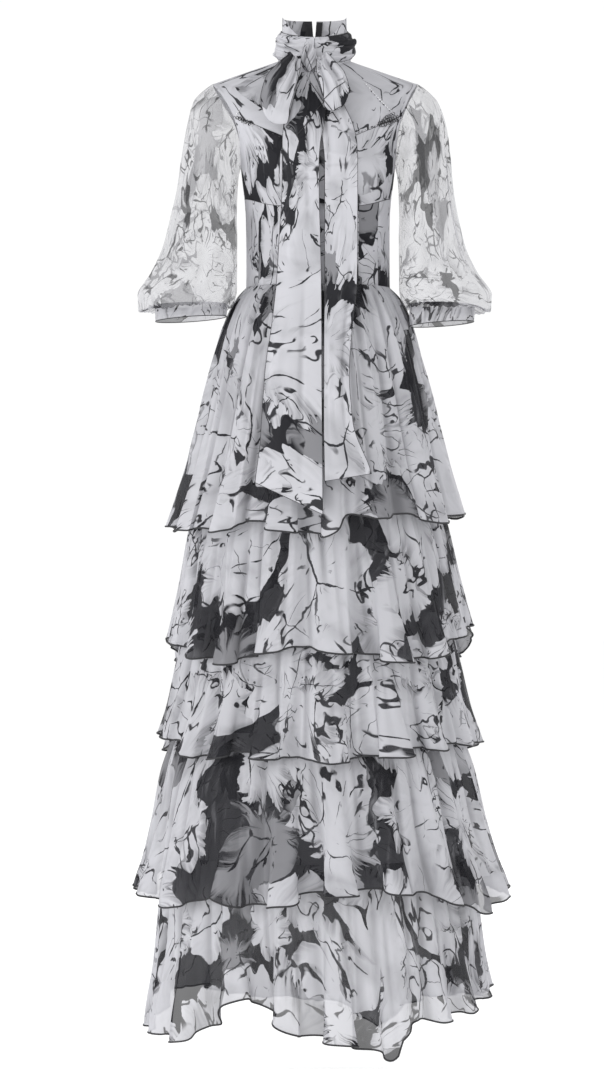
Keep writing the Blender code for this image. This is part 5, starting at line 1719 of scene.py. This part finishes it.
class DRESS_OT_studio(bpy.types.Operator):
    """Pale floor, soft light and the camera"""

    bl_idname = "dress.studio"
    bl_label = "Studio"

    def execute(self, context):
        scene, settings = context.scene, context.scene.dress_studio
        bpy.ops.mesh.primitive_plane_add(size=40, location=(0, 0, settings.floor_height))
        floor = context.object
        floor.name = "studio_floor"
        floor.data.materials.append(finished("pale_floor", pale_paper))
        world = bpy.data.worlds.new("pale_room")
        world.use_nodes = True
        background = world.node_tree.nodes["Background"].inputs
        background["Color"].default_value = (1, 1, 1, 1)
        background["Strength"].default_value = settings.room_light
        scene.world = world
        for name, place, size, share in LAMPS:
            light = bpy.data.lights.new(name, "AREA")
            light.shape = "SQUARE"
            light.size = size
            light.energy = settings.lamp_power * share
            lamp = bpy.data.objects.new(name, light)
            lamp.location = place
            aim = Vector(LAMPS_AIM) - Vector(place)
            lamp.rotation_euler = aim.to_track_quat("-Z", "Y").to_euler()
            scene.collection.objects.link(lamp)
        camera = bpy.data.objects.new("camera", bpy.data.cameras.new("camera"))
        camera.location = (settings.view_across, -settings.view_distance, settings.view_height)
        camera.rotation_euler = (math.pi / 2, 0, 0)
        camera.data.lens = camera.data.sensor_width * settings.view_distance / settings.view_tall
        scene.collection.objects.link(camera)
        scene.camera = camera
        scene.view_settings.view_transform = "Standard"
        return {"FINISHED"}


class DressPrint(bpy.types.PropertyGroup):
    """The cloth's print"""

    petal: FloatVectorProperty(
        name="Petal colour", description="Palest tone of the print", subtype="COLOR", size=3,
        min=0, max=1, default=(0.53, 0.53, 0.562))
    ground: FloatVectorProperty(
        name="Ground colour", description="Darkest tone of the print", subtype="COLOR", size=3,
        min=0, max=1, default=(0.012, 0.012, 0.015))
    petal_width: FloatProperty(
        name="Petal width", description="Mean width of a petal", default=0.145, unit="LENGTH")
    line_width: FloatProperty(
        name="Line width", description="Mean width of an ink line", default=0.0011, unit="LENGTH",
        precision=4)


class DressCloth(bpy.types.PropertyGroup):
    """Folds and edges of the cloth"""

    fold: FloatProperty(
        name="Fold strength", description="How deep the placed folds of the flounces are",
        default=1.8)
    gather_depth: FloatProperty(
        name="Gather depth", description="Depth of the gathers at a flounce's seam", default=0.0032,
        unit="LENGTH", precision=4)
    hem_roll: FloatProperty(
        name="Hem roll", description="How far the waves of a hem lean over", default=0.019,
        unit="LENGTH", precision=4)
    hem_radius: FloatProperty(
        name="Hem radius", description="Half the thickness of a flounce's rolled hem",
        default=0.0015, unit="LENGTH", precision=4)
    tie_edge: FloatProperty(
        name="Tie edge radius", description="Half the thickness of the tie's rolled edge",
        default=0.00042, unit="LENGTH", precision=4)
    bead_spacing: FloatProperty(
        name="Bead spacing", description="Step between two beads of the yoke's trim",
        default=0.0042, unit="LENGTH", precision=4)
    bead_radius: FloatProperty(
        name="Bead radius", description="Half a trim bead's width", default=0.0013, unit="LENGTH",
        precision=4)


class DressStudio(bpy.types.PropertyGroup):
    """Floor, light and camera"""

    floor_height: FloatProperty(
        name="Floor height", description="Height of the floor", default=-1.72, unit="LENGTH")
    room_light: FloatProperty(
        name="Room light", description="Strength of the even light", default=1.02)
    lamp_power: FloatProperty(
        name="Lamp power", description="Power of the front lamp", default=110.0, unit="POWER")
    view_distance: FloatProperty(
        name="Camera distance", description="From the camera to the dress", default=4.5,
        unit="LENGTH")
    view_across: FloatProperty(
        name="Camera place across", description="Camera's place along X", default=-0.0264,
        unit="LENGTH")
    view_height: FloatProperty(
        name="Camera height", description="Camera's place along Z", default=-0.7796, unit="LENGTH")
    view_tall: FloatProperty(
        name="View height",
        description="How much of the dress's plane the picture's long side takes in",
        default=1.7639, unit="LENGTH")


class DRESS_PT_panel(bpy.types.Panel):
    """Lists the dress's pieces and settings in the sidebar"""

    bl_label = "Dress"
    bl_idname = "DRESS_PT_panel"
    bl_space_type = "VIEW_3D"
    bl_region_type = "UI"
    bl_category = "Dress"

    def draw(self, context):
        scene = context.scene
        for settings in (scene.dress_print, scene.dress_cloth, scene.dress_studio):
            box = self.layout.box()
            for name in settings.__annotations__:
                box.prop(settings, name)
        for operator in OPERATORS:
            self.layout.operator(operator.bl_idname)


OPERATORS = (
    DRESS_OT_studio,
    DRESS_OT_bodice,
    DRESS_OT_tie,
    DRESS_OT_sleeves,
    DRESS_OT_skirt,
    DRESS_OT_zip,
    DRESS_OT_trim,
)
CLASSES = (DressPrint, DressCloth, DressStudio, *OPERATORS, DRESS_PT_panel)


def register():
    for item in CLASSES:
        bpy.utils.register_class(item)
    bpy.types.Scene.dress_print = PointerProperty(type=DressPrint)
    bpy.types.Scene.dress_cloth = PointerProperty(type=DressCloth)
    bpy.types.Scene.dress_studio = PointerProperty(type=DressStudio)


def unregister():
    for name in ("dress_studio", "dress_cloth", "dress_print"):
        delattr(bpy.types.Scene, name)
    for item in reversed(CLASSES):
        bpy.utils.unregister_class(item)


def main():
    register()
    bpy.ops.dress.studio()
    bpy.ops.dress.bodice()
    bpy.ops.dress.tie()
    bpy.ops.dress.sleeves()
    bpy.ops.dress.skirt()
    bpy.ops.dress.zip()
    bpy.ops.dress.trim()


if __name__ == "__main__":
    main()
